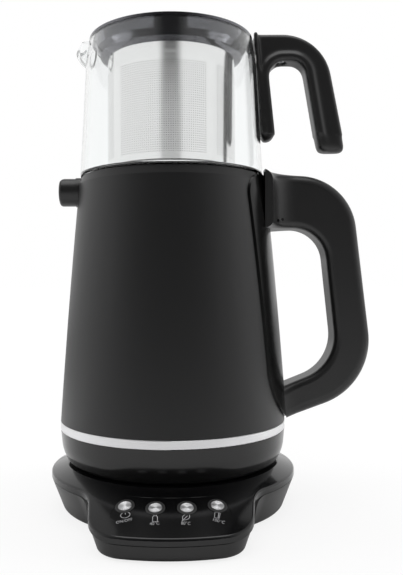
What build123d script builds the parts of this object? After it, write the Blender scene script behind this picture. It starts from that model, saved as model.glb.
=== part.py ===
from build123d import *
import os
from math import cos, hypot, radians, sin, sqrt, tan

# Automatic tea maker: a cordless kettle on a powered base with a control tongue,
# and a glass teapot with a steel infuser that sits on the kettle's mouth.
# Millimetres. Origin: the common axis of base and kettle, at table level.
# +Z is up, -Y points to the person at the buttons, +X to the two handles.

# ------------------------------------------------------------------ fits
seam_gap = 0.4  # open line between two mouldings
face_gap = 0.3  # between curved faces of bodies that lift apart
slide_gap = 0.1  # round a button in its bezel
screw_gap = 0.2  # round a screw's shank in a clearance hole

# ------------------------------------------------------------------ base
base_radius = 87.5  # round part, at the cover's edge
tongue_reach = 118.4  # from the axis to the front of the control tongue
tongue_front_width = 93.4
tongue_side_angle = 7.2  # the tongue widens towards the round part
tongue_corner_radius = 25.0
tongue_root_fillet = 28.0
plateau_height = 31.0  # seat of the kettle
plateau_radius = 76.3
cover_slope = 22.0  # fall of the cover outside the plateau, in degrees
cover_wall = 2.5
cover_lip = 4.0  # from the cover's edge down to the seam
cover_edge_radius = 1.8
housing_wall = 2.4
housing_draft = 21.0
tongue_front_draft = 3.0
housing_edge_radius = 3.0
foot_height = 0.7  # clearance under the housing
foot_recess = 0.8
foot_radius = 7.0
foot_rear = (52.0, 36.0)
foot_front = (28.0, -94.0)
base_screw_rear = (60.0, -12.0)
base_screw_front = (38.0, -76.0)
screw_split_height = 9.0  # where housing tube and cover boss meet
screw_tube_radius = 4.6
screw_boss_radius = 3.6
screw_head_radius = 2.9
screw_head_height = 1.8
screw_shank_radius = 1.45
screw_length = 16.0
counterbore_depth = 3.6

# ---------------------------------------------------------- control panel
panel_recess = 0.25
panel_inner_radius = 85.5
panel_outer_radius = 106.0
panel_half_angle = 21.0
button_circle_radius = 94.0
button_pitch_angle = 11.5  # seen from the axis
bezel_radius = 5.9
bezel_height = 0.5
bezel_neck_radius = 5.0
bezel_neck_length = 3.0
button_radius = 4.1
button_proud = 0.7
button_dish_radius = 40.0
button_dish_depth = 0.2
button_flange_radius = 4.9
button_flange_height = 1.0
button_play = 0.05
button_travel = 0.5
plunger_radius = 1.4
plunger_depth = 6.2  # from the panel's face to the plunger's tip, on the middle pair
switch_size = 5.0
switch_height = 2.6
switch_stem_radius = 1.5
switch_stem_height = 0.9
switch_gap = 0.15  # left when the button is fully pressed
board_wall = 1.4
board_width = 66.0
board_depth = 20.0
board_screw_spacing = 56.0
board_screw_reach = 4.0  # into the standoffs

# ------------------------------------------------------ power in the base
power_board_size = (60.0, 32.0)
power_board_centre = 46.0
power_board_height = 8.0
standoff_radius = 2.6
gland_height = 13.0
gland_radius = 5.6
gland_bore_radius = 3.3
gland_flange_radius = 7.6
gland_flange = 1.4
gland_inside = 6.0

# ------------------------------------------------------------- connector
connector_radius = 19.5
connector_height = 43.0  # top of the base's connector above the table
connector_flange_radius = 24.0
connector_flange = 3.0
connector_groove = (12.0, 17.0)  # ring groove, inner and outer radius
connector_groove_floor = 31.5
contact_slot = (7.0, 9.2)
contact_pin_radius = 2.4
collar_height = 4.0
coupler_gap = 0.6

# --------------------------------------------------------- kettle, outside
kettle_base_radius = 81.0  # shell at the trim ring
kettle_mouth_radius = 67.2  # shell just under its bevel
kettle_bulge = 0.6
shell_low = 61.0
shell_bevel_height = 229.0
shell_top = 234.0
shell_bevel = 1.7
shell_wall = 2.2
trim_height = 6.0
trim_depth = 2.4
trim_edge_radius = 0.5
skirt_low = 33.6
skirt_low_radius = 75.4
skirt_wall = 2.4
foot_ring_radius = 70.5
foot_ring_width = 9.0
foot_wall = 2.4
socket_radius = 23.0
foot_screw_circle = 54.0
foot_post_radius = 4.6
mouth_seat_height = 234.6  # face that carries the teapot
mouth_opening_radius = 50.0
mouth_throat_depth = 12.0
mouth_wall = 2.0

# ---------------------------------------------------------- kettle, inside
liner_gap = 5.6  # from the shell's outside to the steel
liner_wall = 0.8
liner_floor = 72.0
liner_top = mouth_seat_height - 2.6
liner_joint = 205.0  # seam between the liner's cup and its neck
liner_corner = 10.0
heater_radius = 60.0
heater_plate = 3.5
element_radius = 44.0
element_tube_radius = 4.2
element_gap_angle = 40.0
coupler_height = 9.0
coupler_radius = 26.0
coupler_post_radius = 3.5
coupler_post_offset = 19.0
sensor_radius = 3.0
sensor_height = 9.0
sensor_offset = 22.0  # behind the axis

# ------------------------------------------------------------ kettle spout
spout_height = 225.2
spout_radius = 10.1
spout_tip = 81.8
spout_bore = 6.6
spout_bore_drop = 1.6  # the bore lies under the middle of the spout
spout_neck_wall = 0.9
spout_flange_radius = 10.7
spout_flange = 2.4
spout_brow_radius = 5.0  # of the tip's upper corner, seen from the side
spout_edge_radius = 2.2
seal_wall = 1.0

# ----------------------------------------------------------- kettle handle
panel_half_width = 45.0
panel_wall = 1.4
panel_gap = 0.1
panel_low = 62.8
panel_top_corner = 17.0
panel_low_corner = 36.0
grip_half_width = 14.0
grip_edge_radius = 7.0
hole_edge_radius = 5.0
grip_upper_corner = (62.5, 233.4)  # out from the shell, height above the table
grip_upper_radius = 42.0
grip_lower_corner = (66.7, 84.1)
grip_lower_radius = 49.0
grip_root_low = (83.0, 61.4)  # lower end at the kettle
grip_root_top = (68.0, 237.0)  # upper end at the kettle
hole_upper_corner = (38.6, 197.8)
hole_upper_radius = 24.0
hole_lower_corner = (40.4, 99.5)
hole_lower_radius = 32.0
hole_root_top = 195.0
hole_root_low = (82.0, 84.8)
spine_wall = 3.6
spine_start = 100.0
handle_screw_reach = 12.0
handle_screw_seat = -3.5  # from the shell's outside
flare_half_width = 30.0
flare_length = 20.0
vent_radius = 1.1
vent_depth = 2.5
vent_pitch = 3.6
vent_rise = 1.0
vent_place = (78.8, 203.1)

# ------------------------------------------------------------------ teapot
glass_foot_radius = 66.4
glass_shoulder_radius = 61.9  # near the top, where the wall turns in
glass_shoulder_height = 318.0
glass_rim_radius = 59.6
glass_rim_height = 332.6
glass_wall = 2.4
glass_floor = 2.4
glass_corner = 1.5
glass_shoulder_turn = 20.0
nest_radius = 48.6
nest_depth = 4.4
lip_radius = 12.5
lip_centre = (57.0, 328.0)
lip_top_radius = 60.0
lip_top_height = 337.0
lip_tip_radius = 70.2
lip_tip_height = 324.4

# ----------------------------------------------------------- teapot handle
bond_gap = 0.05
bond_wall = 0.8
bracket_wall = 0.8
shield_wall = 3.2
shield_top = 339.5
shield_low = 261.5
shield_gap = 0.15
shield_top_inside = 60.1
shield_top_half_width = 11.0
shield_low_half_width = 7.6
shield_tip_radius = 7.0
web_half_width = 6.5
web_chamfer = 2.2
bead_half_width = 9.0
bead_width = 7.0
bead_edge_radius = 3.0
cane_corner = (111.1, 339.5)
cane_corner_radius = 36.0
cane_end_outer = (127.6, 252.3)
cane_end_inner = (105.6, 253.0)
cane_end_outer_radius = 2.5
cane_end_inner_radius = 9.0
gap_top = 319.0
gap_left = (70.2, 77.5)  # finger gap, at its top and at the strap's end
gap_right = (96.0, 108.1)
gap_low = 246.0
gap_radius = 10.5
strap_end = 260.8
strap_tip_radius = 6.0
bracket_arm_height = gap_top + 7.0
bracket_arm_wall = 2.4
bracket_arm_length = 22.0
bracket_arm_half_width = 4.0
cane_screw_place = 80.4
cane_screw_recess_radius = 4.2
cane_screw_recess = 3.4
cane_screw_reach = 3.0  # above the bracket's arm

# ----------------------------------------------------------------- infuser
basket_radius = 46.1
basket_wall = 0.6
basket_low = 241.5
basket_top = 330.0
base_rim_height = 4.0
funnel_flange = 1.8
funnel_outer_radius = 56.6
funnel_shoulder = (54.2, 326.0)
funnel_knuckle = (51.5, 322.0)
funnel_low = 319.7
funnel_wall = 2.0
pour_slot_half_width = 9.0
pour_slot_height = 8.0

# --------------------------------------------------------------------- lid
lid_radius = 55.5
lid_edge = 1.3
lid_wall = 2.2
lid_dome_height = 3.6
lid_dome_shoulder = 2.2
lid_dome_radius = 36.0
lid_skirt_radius = 45.0
lid_skirt_depth = 7.0
lid_skirt_wall = 1.8
knob_radius = 13.0
knob_height = 11.0
knob_neck_radius = 6.0
knob_neck_height = 4.0
knob_screw_radius = 1.9
knob_screw_head_radius = 3.8
knob_screw_head = 1.8
knob_screw_reach = 7.0

os.makedirs("parts", exist_ok=True)


def finish(piece, name):
    """Name a finished piece and write its file."""
    solid = piece.part if isinstance(piece, BuildPart) else piece
    solid.label = name
    export_step(solid, f"parts/{name}.step")


# The shell's profile is one shallow arc from the trim ring to the bevel.
shell_profile = ThreePointArc(
    (kettle_base_radius, shell_low),
    ((kettle_base_radius + kettle_mouth_radius) / 2 + kettle_bulge, (shell_low + shell_bevel_height) / 2),
    (kettle_mouth_radius, shell_bevel_height),
)


def shell_radius(height, offset=0.0):
    """Radius of the kettle's shell at a height, or of a wall parallel to it."""
    centre = shell_profile.arc_center
    return centre.X + sqrt((shell_profile.radius + offset) ** 2 - (height - centre.Y) ** 2)


def shell_arc(offset, low, high):
    """Profile line parallel to the shell's outside, from low to high."""
    return ThreePointArc(*[(shell_radius(z, offset), z) for z in (low, (low + high) / 2, high)])


def glass_radius(height):
    """Outside of the glass wall below its shoulder."""
    share = (height - mouth_seat_height) / (glass_shoulder_height - mouth_seat_height)
    return glass_foot_radius + share * (glass_shoulder_radius - glass_foot_radius)


def cover_height(radius):
    """Top face of the base cover: a flat plateau, then a cone."""
    return plateau_height - max(0.0, radius - plateau_radius) * tan(radians(cover_slope))


def solid_of_revolution(points):
    """Turn a closed profile of (radius, height) points about the common axis."""
    with BuildPart() as turned:
        with BuildSketch(Plane.XZ):
            with BuildLine():
                Polyline(*points, close=True)
            make_face()
        revolve(axis=Axis.Z)
    return turned.part


# ================================================================= base
def plan_outline(height, round_inset=0.0, front_inset=0.0, side_inset=0.0):
    """Round base with its control tongue, seen from above."""
    ring = base_radius - round_inset
    reach = tongue_reach - front_inset
    front = tongue_front_width / 2 - side_inset
    spread = tan(radians(tongue_side_angle))
    root = front + tongue_reach * spread
    tip = front - tongue_corner_radius * spread
    with BuildSketch(Plane.XY.offset(height)) as outline:
        with BuildLine():
            Polyline(
                (-root, 0),
                (-tip, -tongue_reach - tongue_corner_radius),
                (tip, -tongue_reach - tongue_corner_radius),
                (root, 0),
                close=True,
            )
        make_face()
        Circle(reach, mode=Mode.INTERSECT)
        Circle(ring)
        corners = [v for v in outline.vertices() if hypot(v.X, v.Y) > ring + 1]
        fillet(corners, radius=tongue_corner_radius - side_inset)
        roots = [v for v in outline.vertices() if abs(hypot(v.X, v.Y) - ring) < 0.01 and v.Y < -1]
        fillet(roots, radius=tongue_root_fillet + side_inset)
    return outline.sketch


def below_cover(drop):
    """Everything under the cover's top face lowered by drop."""
    far = tongue_reach + base_radius
    return solid_of_revolution(
        [
            (0, -far),
            (0, cover_height(0) - drop),
            (plateau_radius, cover_height(plateau_radius) - drop),
            (far, cover_height(far) - drop),
            (far, -far),
        ]
    )


def cover_block(inset, drop):
    """The base's outline, filled up to the cover's top face lowered by drop."""
    with BuildPart() as block:
        extrude(to_extrude=plan_outline(0, inset, inset, inset), amount=plateau_height + 1)
        add(below_cover(drop), mode=Mode.INTERSECT)
    return block.part


seam_round = cover_height(base_radius) - cover_lip
seam_front = cover_height(tongue_reach) - cover_lip
seam_side = (seam_round + seam_front) / 2


def tub(wall, low):
    """Drafted tub of the housing, inset by wall and standing on low."""
    drafted = [(seam_round, housing_draft), (seam_front, tongue_front_draft), (seam_side, housing_draft)]
    rows = []
    for height in (low, plateau_height):
        insets = [(seam - height) * tan(radians(draft)) + wall for seam, draft in drafted]
        rows.append(plan_outline(height, *insets))
    with BuildPart() as block:
        loft(sections=rows, ruled=True)
    return block.part


base_screw_places = [(side * x, y) for side in (-1, 1) for x, y in (base_screw_rear, base_screw_front)]
foot_places = [(side * x, y) for side in (-1, 1) for x, y in (foot_rear, foot_front)]
floor_height = foot_height + housing_wall
screw_seat = foot_height + counterbore_depth

# Panel: buttons stand square to the cone, on a circle round the common axis.
panel_angles = [button_pitch_angle * step for step in (-1.5, -0.5, 0.5, 1.5)]
panel_tilt = radians(cover_slope)


def panel_point(angle):
    """Point of the cover's top face under a button."""
    turn = radians(angle)
    height = cover_height(button_circle_radius) - panel_recess
    return Vector(button_circle_radius * sin(turn), -button_circle_radius * cos(turn), height)


def panel_plane(angle):
    """Plane on the cover's top face under a button, square to the button's travel."""
    turn = radians(angle)
    outward = Vector(sin(panel_tilt) * sin(turn), -sin(panel_tilt) * cos(turn), cos(panel_tilt))
    return Plane(origin=panel_point(angle), x_dir=(cos(turn), sin(turn), 0), z_dir=outward)


board_normal = Vector(0, -sin(panel_tilt), cos(panel_tilt))
middle_plane = panel_plane(panel_angles[1])
middle_tip = middle_plane.origin - middle_plane.z_dir * plunger_depth
tip_level = middle_tip.dot(board_normal)
switch_top_level = tip_level - button_travel - switch_gap
board_level = switch_top_level - switch_stem_height - switch_height
board_point = Vector(0, -button_circle_radius, 0)
board_rise = (board_level - board_point.dot(board_normal)) / cos(panel_tilt)
board_plane = Plane(
    origin=board_point + Vector(0, 0, board_rise), x_dir=(1, 0, 0), z_dir=board_normal
)


def plunger_length(angle):
    """Depth of the plunger's tip below the panel, so that all tips end on one level."""
    plane = panel_plane(angle)
    return (plane.origin.dot(board_normal) - tip_level) / plane.z_dir.dot(board_normal)


board_screw_places = [(side * board_screw_spacing / 2, 0) for side in (-1, 1)]


def board_posts(radius, length):
    """Round bars going down, square to the control board, from its underside."""
    with BuildPart() as posts:
        with BuildSketch(board_plane.offset(-board_wall)):
            with Locations(*board_screw_places):
                Circle(radius)
        extrude(amount=-length)
    return posts.part


def panel_sector():
    """Sunk field round the buttons, cut down from the cover's top face."""
    wide = radians(panel_half_angle)
    with BuildPart() as field:
        with BuildSketch(Plane.XY) as sector:
            with BuildLine():
                for radius in (panel_inner_radius, panel_outer_radius):
                    ThreePointArc(
                        (-radius * sin(wide), -radius * cos(wide)),
                        (0, -radius),
                        (radius * sin(wide), -radius * cos(wide)),
                    )
                for side in (-1, 1):
                    Line(
                        (side * panel_inner_radius * sin(wide), -panel_inner_radius * cos(wide)),
                        (side * panel_outer_radius * sin(wide), -panel_outer_radius * cos(wide)),
                    )
            make_face()
            fillet(sector.vertices(), radius=bezel_radius)
        extrude(amount=plateau_height)
        add(below_cover(panel_recess), mode=Mode.SUBTRACT)
    return field.part


def on_cover_edge(edge):
    """True for the edges where the cover's cone meets its side."""
    middle = edge @ 0.5
    radius = hypot(middle.X, middle.Y)
    return radius > base_radius - 1 and abs(middle.Z - cover_height(radius)) < 0.01


with BuildPart() as base_cover:
    add(cover_block(0, 0))
    add(below_cover(cover_lip), mode=Mode.SUBTRACT)
    fillet([edge for edge in base_cover.edges() if on_cover_edge(edge)], radius=cover_edge_radius)
    add(cover_block(cover_wall, cover_wall), mode=Mode.SUBTRACT)
    add(panel_sector(), mode=Mode.SUBTRACT)
    for angle in panel_angles:
        with BuildSketch(panel_plane(angle)):
            Circle(bezel_neck_radius)
        extrude(amount=-2 * cover_wall, mode=Mode.SUBTRACT)
    with BuildSketch(Plane.XY.offset(plateau_height)):
        Circle(connector_radius + face_gap)
    extrude(amount=-2 * cover_wall, mode=Mode.SUBTRACT)
    with BuildSketch(Plane.XY.offset(screw_split_height)):
        with Locations(*base_screw_places):
            Circle(screw_boss_radius)
    extrude(until=Until.NEXT)
    with BuildSketch(Plane.XY.offset(screw_split_height)):
        with Locations(*base_screw_places):
            Circle(screw_shank_radius)
    extrude(amount=screw_seat + screw_length - screw_split_height, mode=Mode.SUBTRACT)
finish(base_cover, "base_cover")

with BuildPart() as base_housing:
    add(tub(0, foot_height))
    fillet(base_housing.edges().group_by(Axis.Z)[0], radius=housing_edge_radius)
    add(tub(housing_wall, floor_height), mode=Mode.SUBTRACT)
    with BuildSketch(Plane.XY.offset(floor_height)):
        with Locations(*base_screw_places):
            Circle(screw_tube_radius)
    extrude(amount=screw_split_height - floor_height)
    with BuildSketch(Plane.XY.offset(floor_height)):
        with Locations((0, power_board_centre)):
            with GridLocations(
                power_board_size[0] - 2 * standoff_radius, power_board_size[1] - 2 * standoff_radius, 2, 2
            ):
                Circle(standoff_radius)
    extrude(amount=power_board_height - floor_height)
    add(board_posts(standoff_radius, tongue_reach))
    add(tub(0, foot_height), mode=Mode.INTERSECT)
    add(board_posts(screw_shank_radius, board_screw_reach), mode=Mode.SUBTRACT)
    add(below_cover(cover_lip + seam_gap), mode=Mode.INTERSECT)
    with BuildSketch(Plane.XY.offset(foot_height)):
        with Locations(*base_screw_places):
            Circle(screw_head_radius + screw_gap)
    extrude(amount=counterbore_depth, mode=Mode.SUBTRACT)
    with BuildSketch(Plane.XY.offset(foot_height)):
        with Locations(*base_screw_places):
            Circle(screw_shank_radius + screw_gap)
    extrude(amount=screw_split_height, mode=Mode.SUBTRACT)
    with BuildSketch(Plane.XY.offset(foot_height)):
        with Locations(*foot_places):
            Circle(foot_radius)
    extrude(amount=foot_recess, mode=Mode.SUBTRACT)
    with BuildSketch(Plane.XZ.offset(-base_radius)):
        with Locations((0, gland_height)):
            Circle(gland_radius)
    extrude(amount=gland_inside + base_radius / 8, mode=Mode.SUBTRACT)
finish(base_housing, "base_housing")

with BuildPart() as base_feet:
    with BuildSketch():
        with Locations(*foot_places):
            Circle(foot_radius)
    extrude(amount=foot_height + foot_recess)
    fillet(base_feet.edges().group_by(Axis.Z)[0], radius=foot_recess / 2)
finish(base_feet, "base_feet")


def screws(places, seat, length):
    """Pan-head screws pointing up, heads under the given seat."""
    with BuildPart() as group:
        with BuildSketch(Plane.XY.offset(seat - screw_head_height)):
            with Locations(*places):
                Circle(screw_head_radius)
        extrude(amount=screw_head_height)
        fillet(group.edges().group_by(Axis.Z)[0], radius=screw_head_height / 3)
        with BuildSketch(Plane.XY.offset(seat)):
            with Locations(*places):
                Circle(screw_shank_radius)
        extrude(amount=length)
        with BuildSketch(Plane.XY.offset(seat - screw_head_height)):
            with Locations(*places):
                RegularPolygon(screw_shank_radius, 6)
        extrude(amount=screw_head_height / 2, mode=Mode.SUBTRACT)
    return group


finish(screws(base_screw_places, screw_seat, screw_length), "base_screws")

with BuildPart() as cord_gland:
    inner_face = base_radius - (seam_round - gland_height) * tan(radians(housing_draft)) - housing_wall
    inside = inner_face - gland_inside
    with BuildSketch(Plane.XZ.offset(-inside)):
        with Locations((0, gland_height)):
            Circle(gland_radius - slide_gap)
    extrude(amount=-(gland_inside + housing_wall))
    with BuildSketch(Plane.XZ.offset(-inside)):
        with Locations((0, gland_height)):
            Circle(gland_flange_radius)
    extrude(amount=-gland_flange)
    fillet(cord_gland.edges().sort_by(Axis.Y)[-1], radius=gland_flange / 2)
    with BuildSketch(Plane.XZ.offset(-inside)):
        with Locations((0, gland_height)):
            Circle(gland_bore_radius)
    extrude(amount=-2 * gland_inside, mode=Mode.SUBTRACT)
finish(cord_gland, "cord_gland")


# ---- control panel: bezels, buttons, board and switches
with BuildPart() as button_bezels:
    for angle in panel_angles:
        with BuildSketch(panel_plane(angle)):
            Circle(bezel_radius)
        extrude(amount=bezel_height)
        with BuildSketch(panel_plane(angle)):
            Circle(bezel_neck_radius - slide_gap / 2)
        extrude(amount=-bezel_neck_length)
    fillet(
        button_bezels.faces().filter_by(lambda face: face.center().Z > 0).edges()
        .filter_by(GeomType.CIRCLE)
        .filter_by(lambda edge: abs(edge.radius - bezel_radius) < 0.01)
        .filter_by(lambda edge: max((edge.arc_center - panel_point(a)).dot(board_normal)
                                    for a in panel_angles
                                    if (edge.arc_center - panel_point(a)).length < bezel_radius) > 0.1),
        radius=bezel_height / 2,
    )
    for angle in panel_angles:
        with BuildSketch(panel_plane(angle).offset(bezel_height)):
            Circle(button_radius + slide_gap)
        extrude(amount=-bezel_height - 2 * bezel_neck_length, mode=Mode.SUBTRACT)
finish(button_bezels, "button_bezels")


def push_button(angle):
    """Dished metal-look cap on a stem, held by its flange under the bezel."""
    face = panel_plane(angle)
    flange_top = bezel_neck_length + button_play
    with BuildPart() as button:
        with BuildSketch(face.offset(button_proud)):
            Circle(button_radius)
        extrude(amount=-button_proud - flange_top)
        fillet(button.edges().filter_by(GeomType.CIRCLE).group_by(Axis.Z)[-1], radius=slide_gap * 3)
        with BuildSketch(face.offset(-flange_top)):
            Circle(button_flange_radius)
        extrude(amount=-button_flange_height)
        with BuildSketch(face.offset(-flange_top - button_flange_height)):
            Circle(plunger_radius)
        extrude(amount=-(plunger_length(angle) - flange_top - button_flange_height))
        dish = Sphere(button_dish_radius, mode=Mode.PRIVATE)
        rise = button_proud + button_dish_radius - button_dish_depth
        add(dish.moved(Location(face.origin + face.z_dir * rise)), mode=Mode.SUBTRACT)
    return button


button_names = ["button_on_off", "button_40", "button_80", "button_100"]
for button_name, angle in zip(button_names, panel_angles):
    finish(push_button(angle), button_name)


def switch_places():
    """Tips of the plungers, seen square to the board."""
    tips = [panel_plane(a).origin - panel_plane(a).z_dir * plunger_length(a) for a in panel_angles]
    return [board_plane.to_local_coords(tip) for tip in tips]


switch_spots = [(spot.X, spot.Y) for spot in switch_places()]

with BuildPart() as control_board:
    with BuildSketch(board_plane):
        RectangleRounded(board_width, board_depth, standoff_radius)
    extrude(amount=-board_wall)
    with BuildSketch(board_plane):
        with Locations(*board_screw_places):
            Circle(screw_shank_radius + screw_gap)
    extrude(amount=-board_wall, mode=Mode.SUBTRACT)
finish(control_board, "control_board")

with BuildPart() as button_switches:
    with BuildSketch(board_plane):
        with Locations(*switch_spots):
            Rectangle(switch_size, switch_size)
    extrude(amount=switch_height)
    with BuildSketch(board_plane.offset(switch_height)):
        with Locations(*switch_spots):
            Circle(switch_stem_radius)
    extrude(amount=switch_stem_height)
finish(button_switches, "button_switches")

with BuildPart() as board_screws:
    with BuildSketch(board_plane):
        with Locations(*board_screw_places):
            Circle(screw_head_radius)
    extrude(amount=screw_head_height)
    with BuildSketch(board_plane):
        with Locations(*board_screw_places):
            Circle(screw_shank_radius)
    extrude(amount=-board_wall)
    add(board_posts(screw_shank_radius, board_screw_reach))
finish(board_screws, "board_screws")


# ---- power in the base: board, connector, contacts and its loose collar
with BuildPart() as power_board:
    board_top = power_board_height + board_wall
    with BuildSketch(Plane.XY.offset(power_board_height)):
        with Locations((0, power_board_centre)):
            Rectangle(*power_board_size)
    extrude(amount=board_wall)
    with BuildSketch(Plane.XY.offset(board_top)):
        with Locations((-18, power_board_centre)):
            Rectangle(16, 19)
    extrude(amount=12)
    with BuildSketch(Plane.XY.offset(board_top)):
        with Locations((4, power_board_centre + 4)):
            Rectangle(18, 15)
    extrude(amount=14)
    with BuildSketch(Plane.XY.offset(board_top)):
        with Locations((21, power_board_centre - 6), (21, power_board_centre + 7)):
            Circle(4.5)
    extrude(amount=11)
finish(power_board, "power_board")

flange_height = plateau_height - cover_wall
groove_in, groove_out = connector_groove
slot_in, slot_out = contact_slot
hub_top = connector_height - 1
well_radius = contact_pin_radius + 1.6
well_floor = connector_groove_floor + 1.5

with BuildPart() as base_connector:
    add(
        solid_of_revolution(
            [
                (0, flange_height - connector_flange),
                (connector_flange_radius, flange_height - connector_flange),
                (connector_flange_radius, flange_height),
                (connector_radius, flange_height),
                (connector_radius, connector_height),
                (groove_out, connector_height),
                (groove_out, connector_groove_floor),
                (groove_in, connector_groove_floor),
                (groove_in, hub_top),
                (slot_out, hub_top),
                (slot_out, well_floor),
                (slot_in, well_floor),
                (slot_in, hub_top),
                (well_radius, hub_top),
                (well_radius, well_floor),
                (0, well_floor),
            ]
        )
    )
    fillet(base_connector.edges().group_by(Axis.Z)[-1], radius=1.0)
finish(base_connector, "base_connector")

with BuildPart() as connector_contacts:
    with BuildSketch(Plane.XY.offset(well_floor)):
        Circle(contact_pin_radius - 0.4)
    extrude(amount=hub_top - well_floor - 1)
    fillet(connector_contacts.edges().group_by(Axis.Z)[-1], radius=0.8)
    with BuildSketch(Plane.XY.offset(well_floor)):
        Circle(slot_in + 0.7)
        Circle(slot_in + 0.1, mode=Mode.SUBTRACT)
    extrude(amount=hub_top - well_floor - 3)
finish(connector_contacts, "connector_contacts")

with BuildPart() as connector_collar:
    with BuildSketch(Plane.XY.offset(connector_groove_floor)):
        Circle(groove_out - face_gap)
        Circle(groove_in + 0.08, mode=Mode.SUBTRACT)
    extrude(amount=collar_height)
    chamfer(connector_collar.edges().group_by(Axis.Z)[-1], length=0.5)
finish(connector_collar, "connector_collar")


# =============================================================== kettle
def inside_arc(offset, low, high):
    """Everything inside a wall parallel to the shell's outside."""
    with BuildPart() as fill:
        with BuildSketch(Plane.XZ):
            with BuildLine():
                wall = shell_arc(offset, low, high)
                Polyline(wall @ 1, (0, high), (0, low), wall @ 0)
            make_face()
        revolve(axis=Axis.Z)
    return fill.part


def spout_bar(radius, start, end, drop=0.0):
    """Round bar along the spout, between two distances from the kettle's axis."""
    with BuildPart() as bar:
        with BuildSketch(Plane.YZ.offset(-start)):
            with Locations((0, spout_height - drop)):
                Circle(radius)
        extrude(amount=start - end)
    return bar.part


def spout_passage(gap):
    """Bar that fills the spout's neck, with a gap round it."""
    return spout_bar(neck_radius + gap, spout_tip, mouth_opening_radius, spout_bore_drop)


skirt_top = shell_low - trim_height
spout_wall_radius = shell_radius(spout_height)
neck_radius = spout_bore + spout_neck_wall
spout_inner_end = spout_wall_radius - liner_gap - 2 * liner_wall
handle_screw_rows = [(9.0, 219.0), (8.0, 75.0)]
handle_screw_places = [(side * y, z) for y, z in handle_screw_rows for side in (-1, 1)]


def handle_screw_bars(radius, start, length):
    """Bars along +X where the handle's screws run, from start for length."""
    with BuildPart() as bars:
        for y, z in handle_screw_places:
            first = shell_radius(z) + start
            with BuildSketch(Plane.YZ.offset(first)):
                with Locations((y, z)):
                    Circle(radius)
            extrude(amount=length)
    return bars.part


with BuildPart() as kettle_shell:
    with BuildSketch(Plane.XZ):
        with BuildLine():
            outside = shell_arc(0, shell_low, shell_bevel_height)
            inside = shell_arc(-shell_wall, shell_low, shell_bevel_height)
            mouth = shell_radius(shell_bevel_height) - shell_bevel
            Polyline(
                outside @ 1, (mouth, shell_top), (mouth - shell_wall, shell_top), inside @ 1
            )
            Line(inside @ 0, outside @ 0)
        make_face()
    revolve(axis=Axis.Z)
    add(spout_passage(slide_gap), mode=Mode.SUBTRACT)
    add(handle_screw_bars(screw_shank_radius + screw_gap, -3 * shell_wall, 6 * shell_wall), mode=Mode.SUBTRACT)
finish(kettle_shell, "kettle_shell")


def liner_block(inset):
    """Inside of the shell's wall, shrunk to the steel liner and by inset."""
    floor = liner_floor + inset
    corner = liner_corner - inset
    with BuildPart() as fill:
        with BuildSketch(Plane.XZ):
            with BuildLine():
                wall = shell_arc(-liner_gap - inset, floor + corner, liner_top)
                turn = RadiusArc(((wall @ 0).X - corner, floor), wall @ 0, -corner)
                Polyline(wall @ 1, (0, liner_top), (0, floor), turn @ 0)
            make_face()
        revolve(axis=Axis.Z)
    return fill.part


def liner_sheet():
    """The whole steel liner, with its hole for the spout."""
    with BuildPart() as sheet:
        add(liner_block(0))
        add(liner_block(liner_wall), mode=Mode.SUBTRACT)
        add(spout_passage(slide_gap), mode=Mode.SUBTRACT)
    return sheet.part


with BuildPart() as kettle_liner:
    add(liner_sheet())
    split(bisect_by=Plane.XY.offset(liner_joint), keep=Keep.BOTTOM)
    with BuildSketch(Plane.XY.offset(liner_floor)):
        with Locations((0, sensor_offset)):
            Circle(sensor_radius)
    extrude(amount=liner_wall, mode=Mode.SUBTRACT)
finish(kettle_liner, "kettle_liner")

with BuildPart() as kettle_liner_neck:
    add(liner_sheet())
    split(bisect_by=Plane.XY.offset(liner_joint), keep=Keep.TOP)
finish(kettle_liner_neck, "kettle_liner_neck")

seat_outer = mouth - 0.2
throat = mouth_opening_radius + mouth_wall
liner_rim = shell_radius(liner_top) - liner_gap
seat_low = mouth_seat_height - mouth_wall
with BuildPart() as mouth_ring:
    add(
        solid_of_revolution(
            [
                (mouth_opening_radius, mouth_seat_height - mouth_throat_depth),
                (throat, mouth_seat_height - mouth_throat_depth),
                (throat, seat_low),
                (liner_rim + face_gap, seat_low),
                (liner_rim + face_gap, liner_top),
                (mouth - shell_wall - slide_gap, liner_top),
                (mouth - shell_wall - slide_gap, shell_top),
                (seat_outer, shell_top),
                (seat_outer, mouth_seat_height),
                (mouth_opening_radius, mouth_seat_height),
            ]
        )
    )
    fillet(mouth_ring.edges().group_by(Axis.Z)[-1], radius=(mouth_seat_height - shell_top) / 2)
finish(mouth_ring, "mouth_ring")

with BuildPart() as mouth_seal:
    with BuildSketch(Plane.XY.offset(liner_top)):
        Circle(liner_rim)
        Circle(liner_rim - seal_wall * 1.5, mode=Mode.SUBTRACT)
    extrude(amount=seat_low - liner_top)
finish(mouth_seal, "mouth_seal")

with BuildPart() as kettle_spout:
    add(spout_bar(spout_radius, spout_tip, mouth_opening_radius))
    fillet(kettle_spout.edges().sort_by(Axis.X)[0], radius=spout_edge_radius)
    with BuildSketch(Plane.XZ):
        with BuildLine():
            FilletPolyline(
                (-spout_tip, spout_height - spout_radius),
                (-spout_tip, spout_height + spout_radius),
                (0, spout_height + spout_radius),
                (0, spout_height - spout_radius),
                radius=[0, spout_brow_radius, 0, 0],
                close=True,
            )
        make_face()
    extrude(amount=spout_radius, both=True, mode=Mode.INTERSECT)
    add(spout_bar(spout_flange_radius, spout_wall_radius + spout_flange, mouth_opening_radius))
    add(inside_arc(slide_gap, shell_low, shell_bevel_height + 10), mode=Mode.SUBTRACT)
    add(spout_bar(neck_radius, spout_wall_radius + spout_flange, spout_inner_end, spout_bore_drop))
    add(spout_bar(spout_bore, spout_tip + 1, mouth_opening_radius, spout_bore_drop), mode=Mode.SUBTRACT)
finish(kettle_spout, "kettle_spout")

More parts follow.
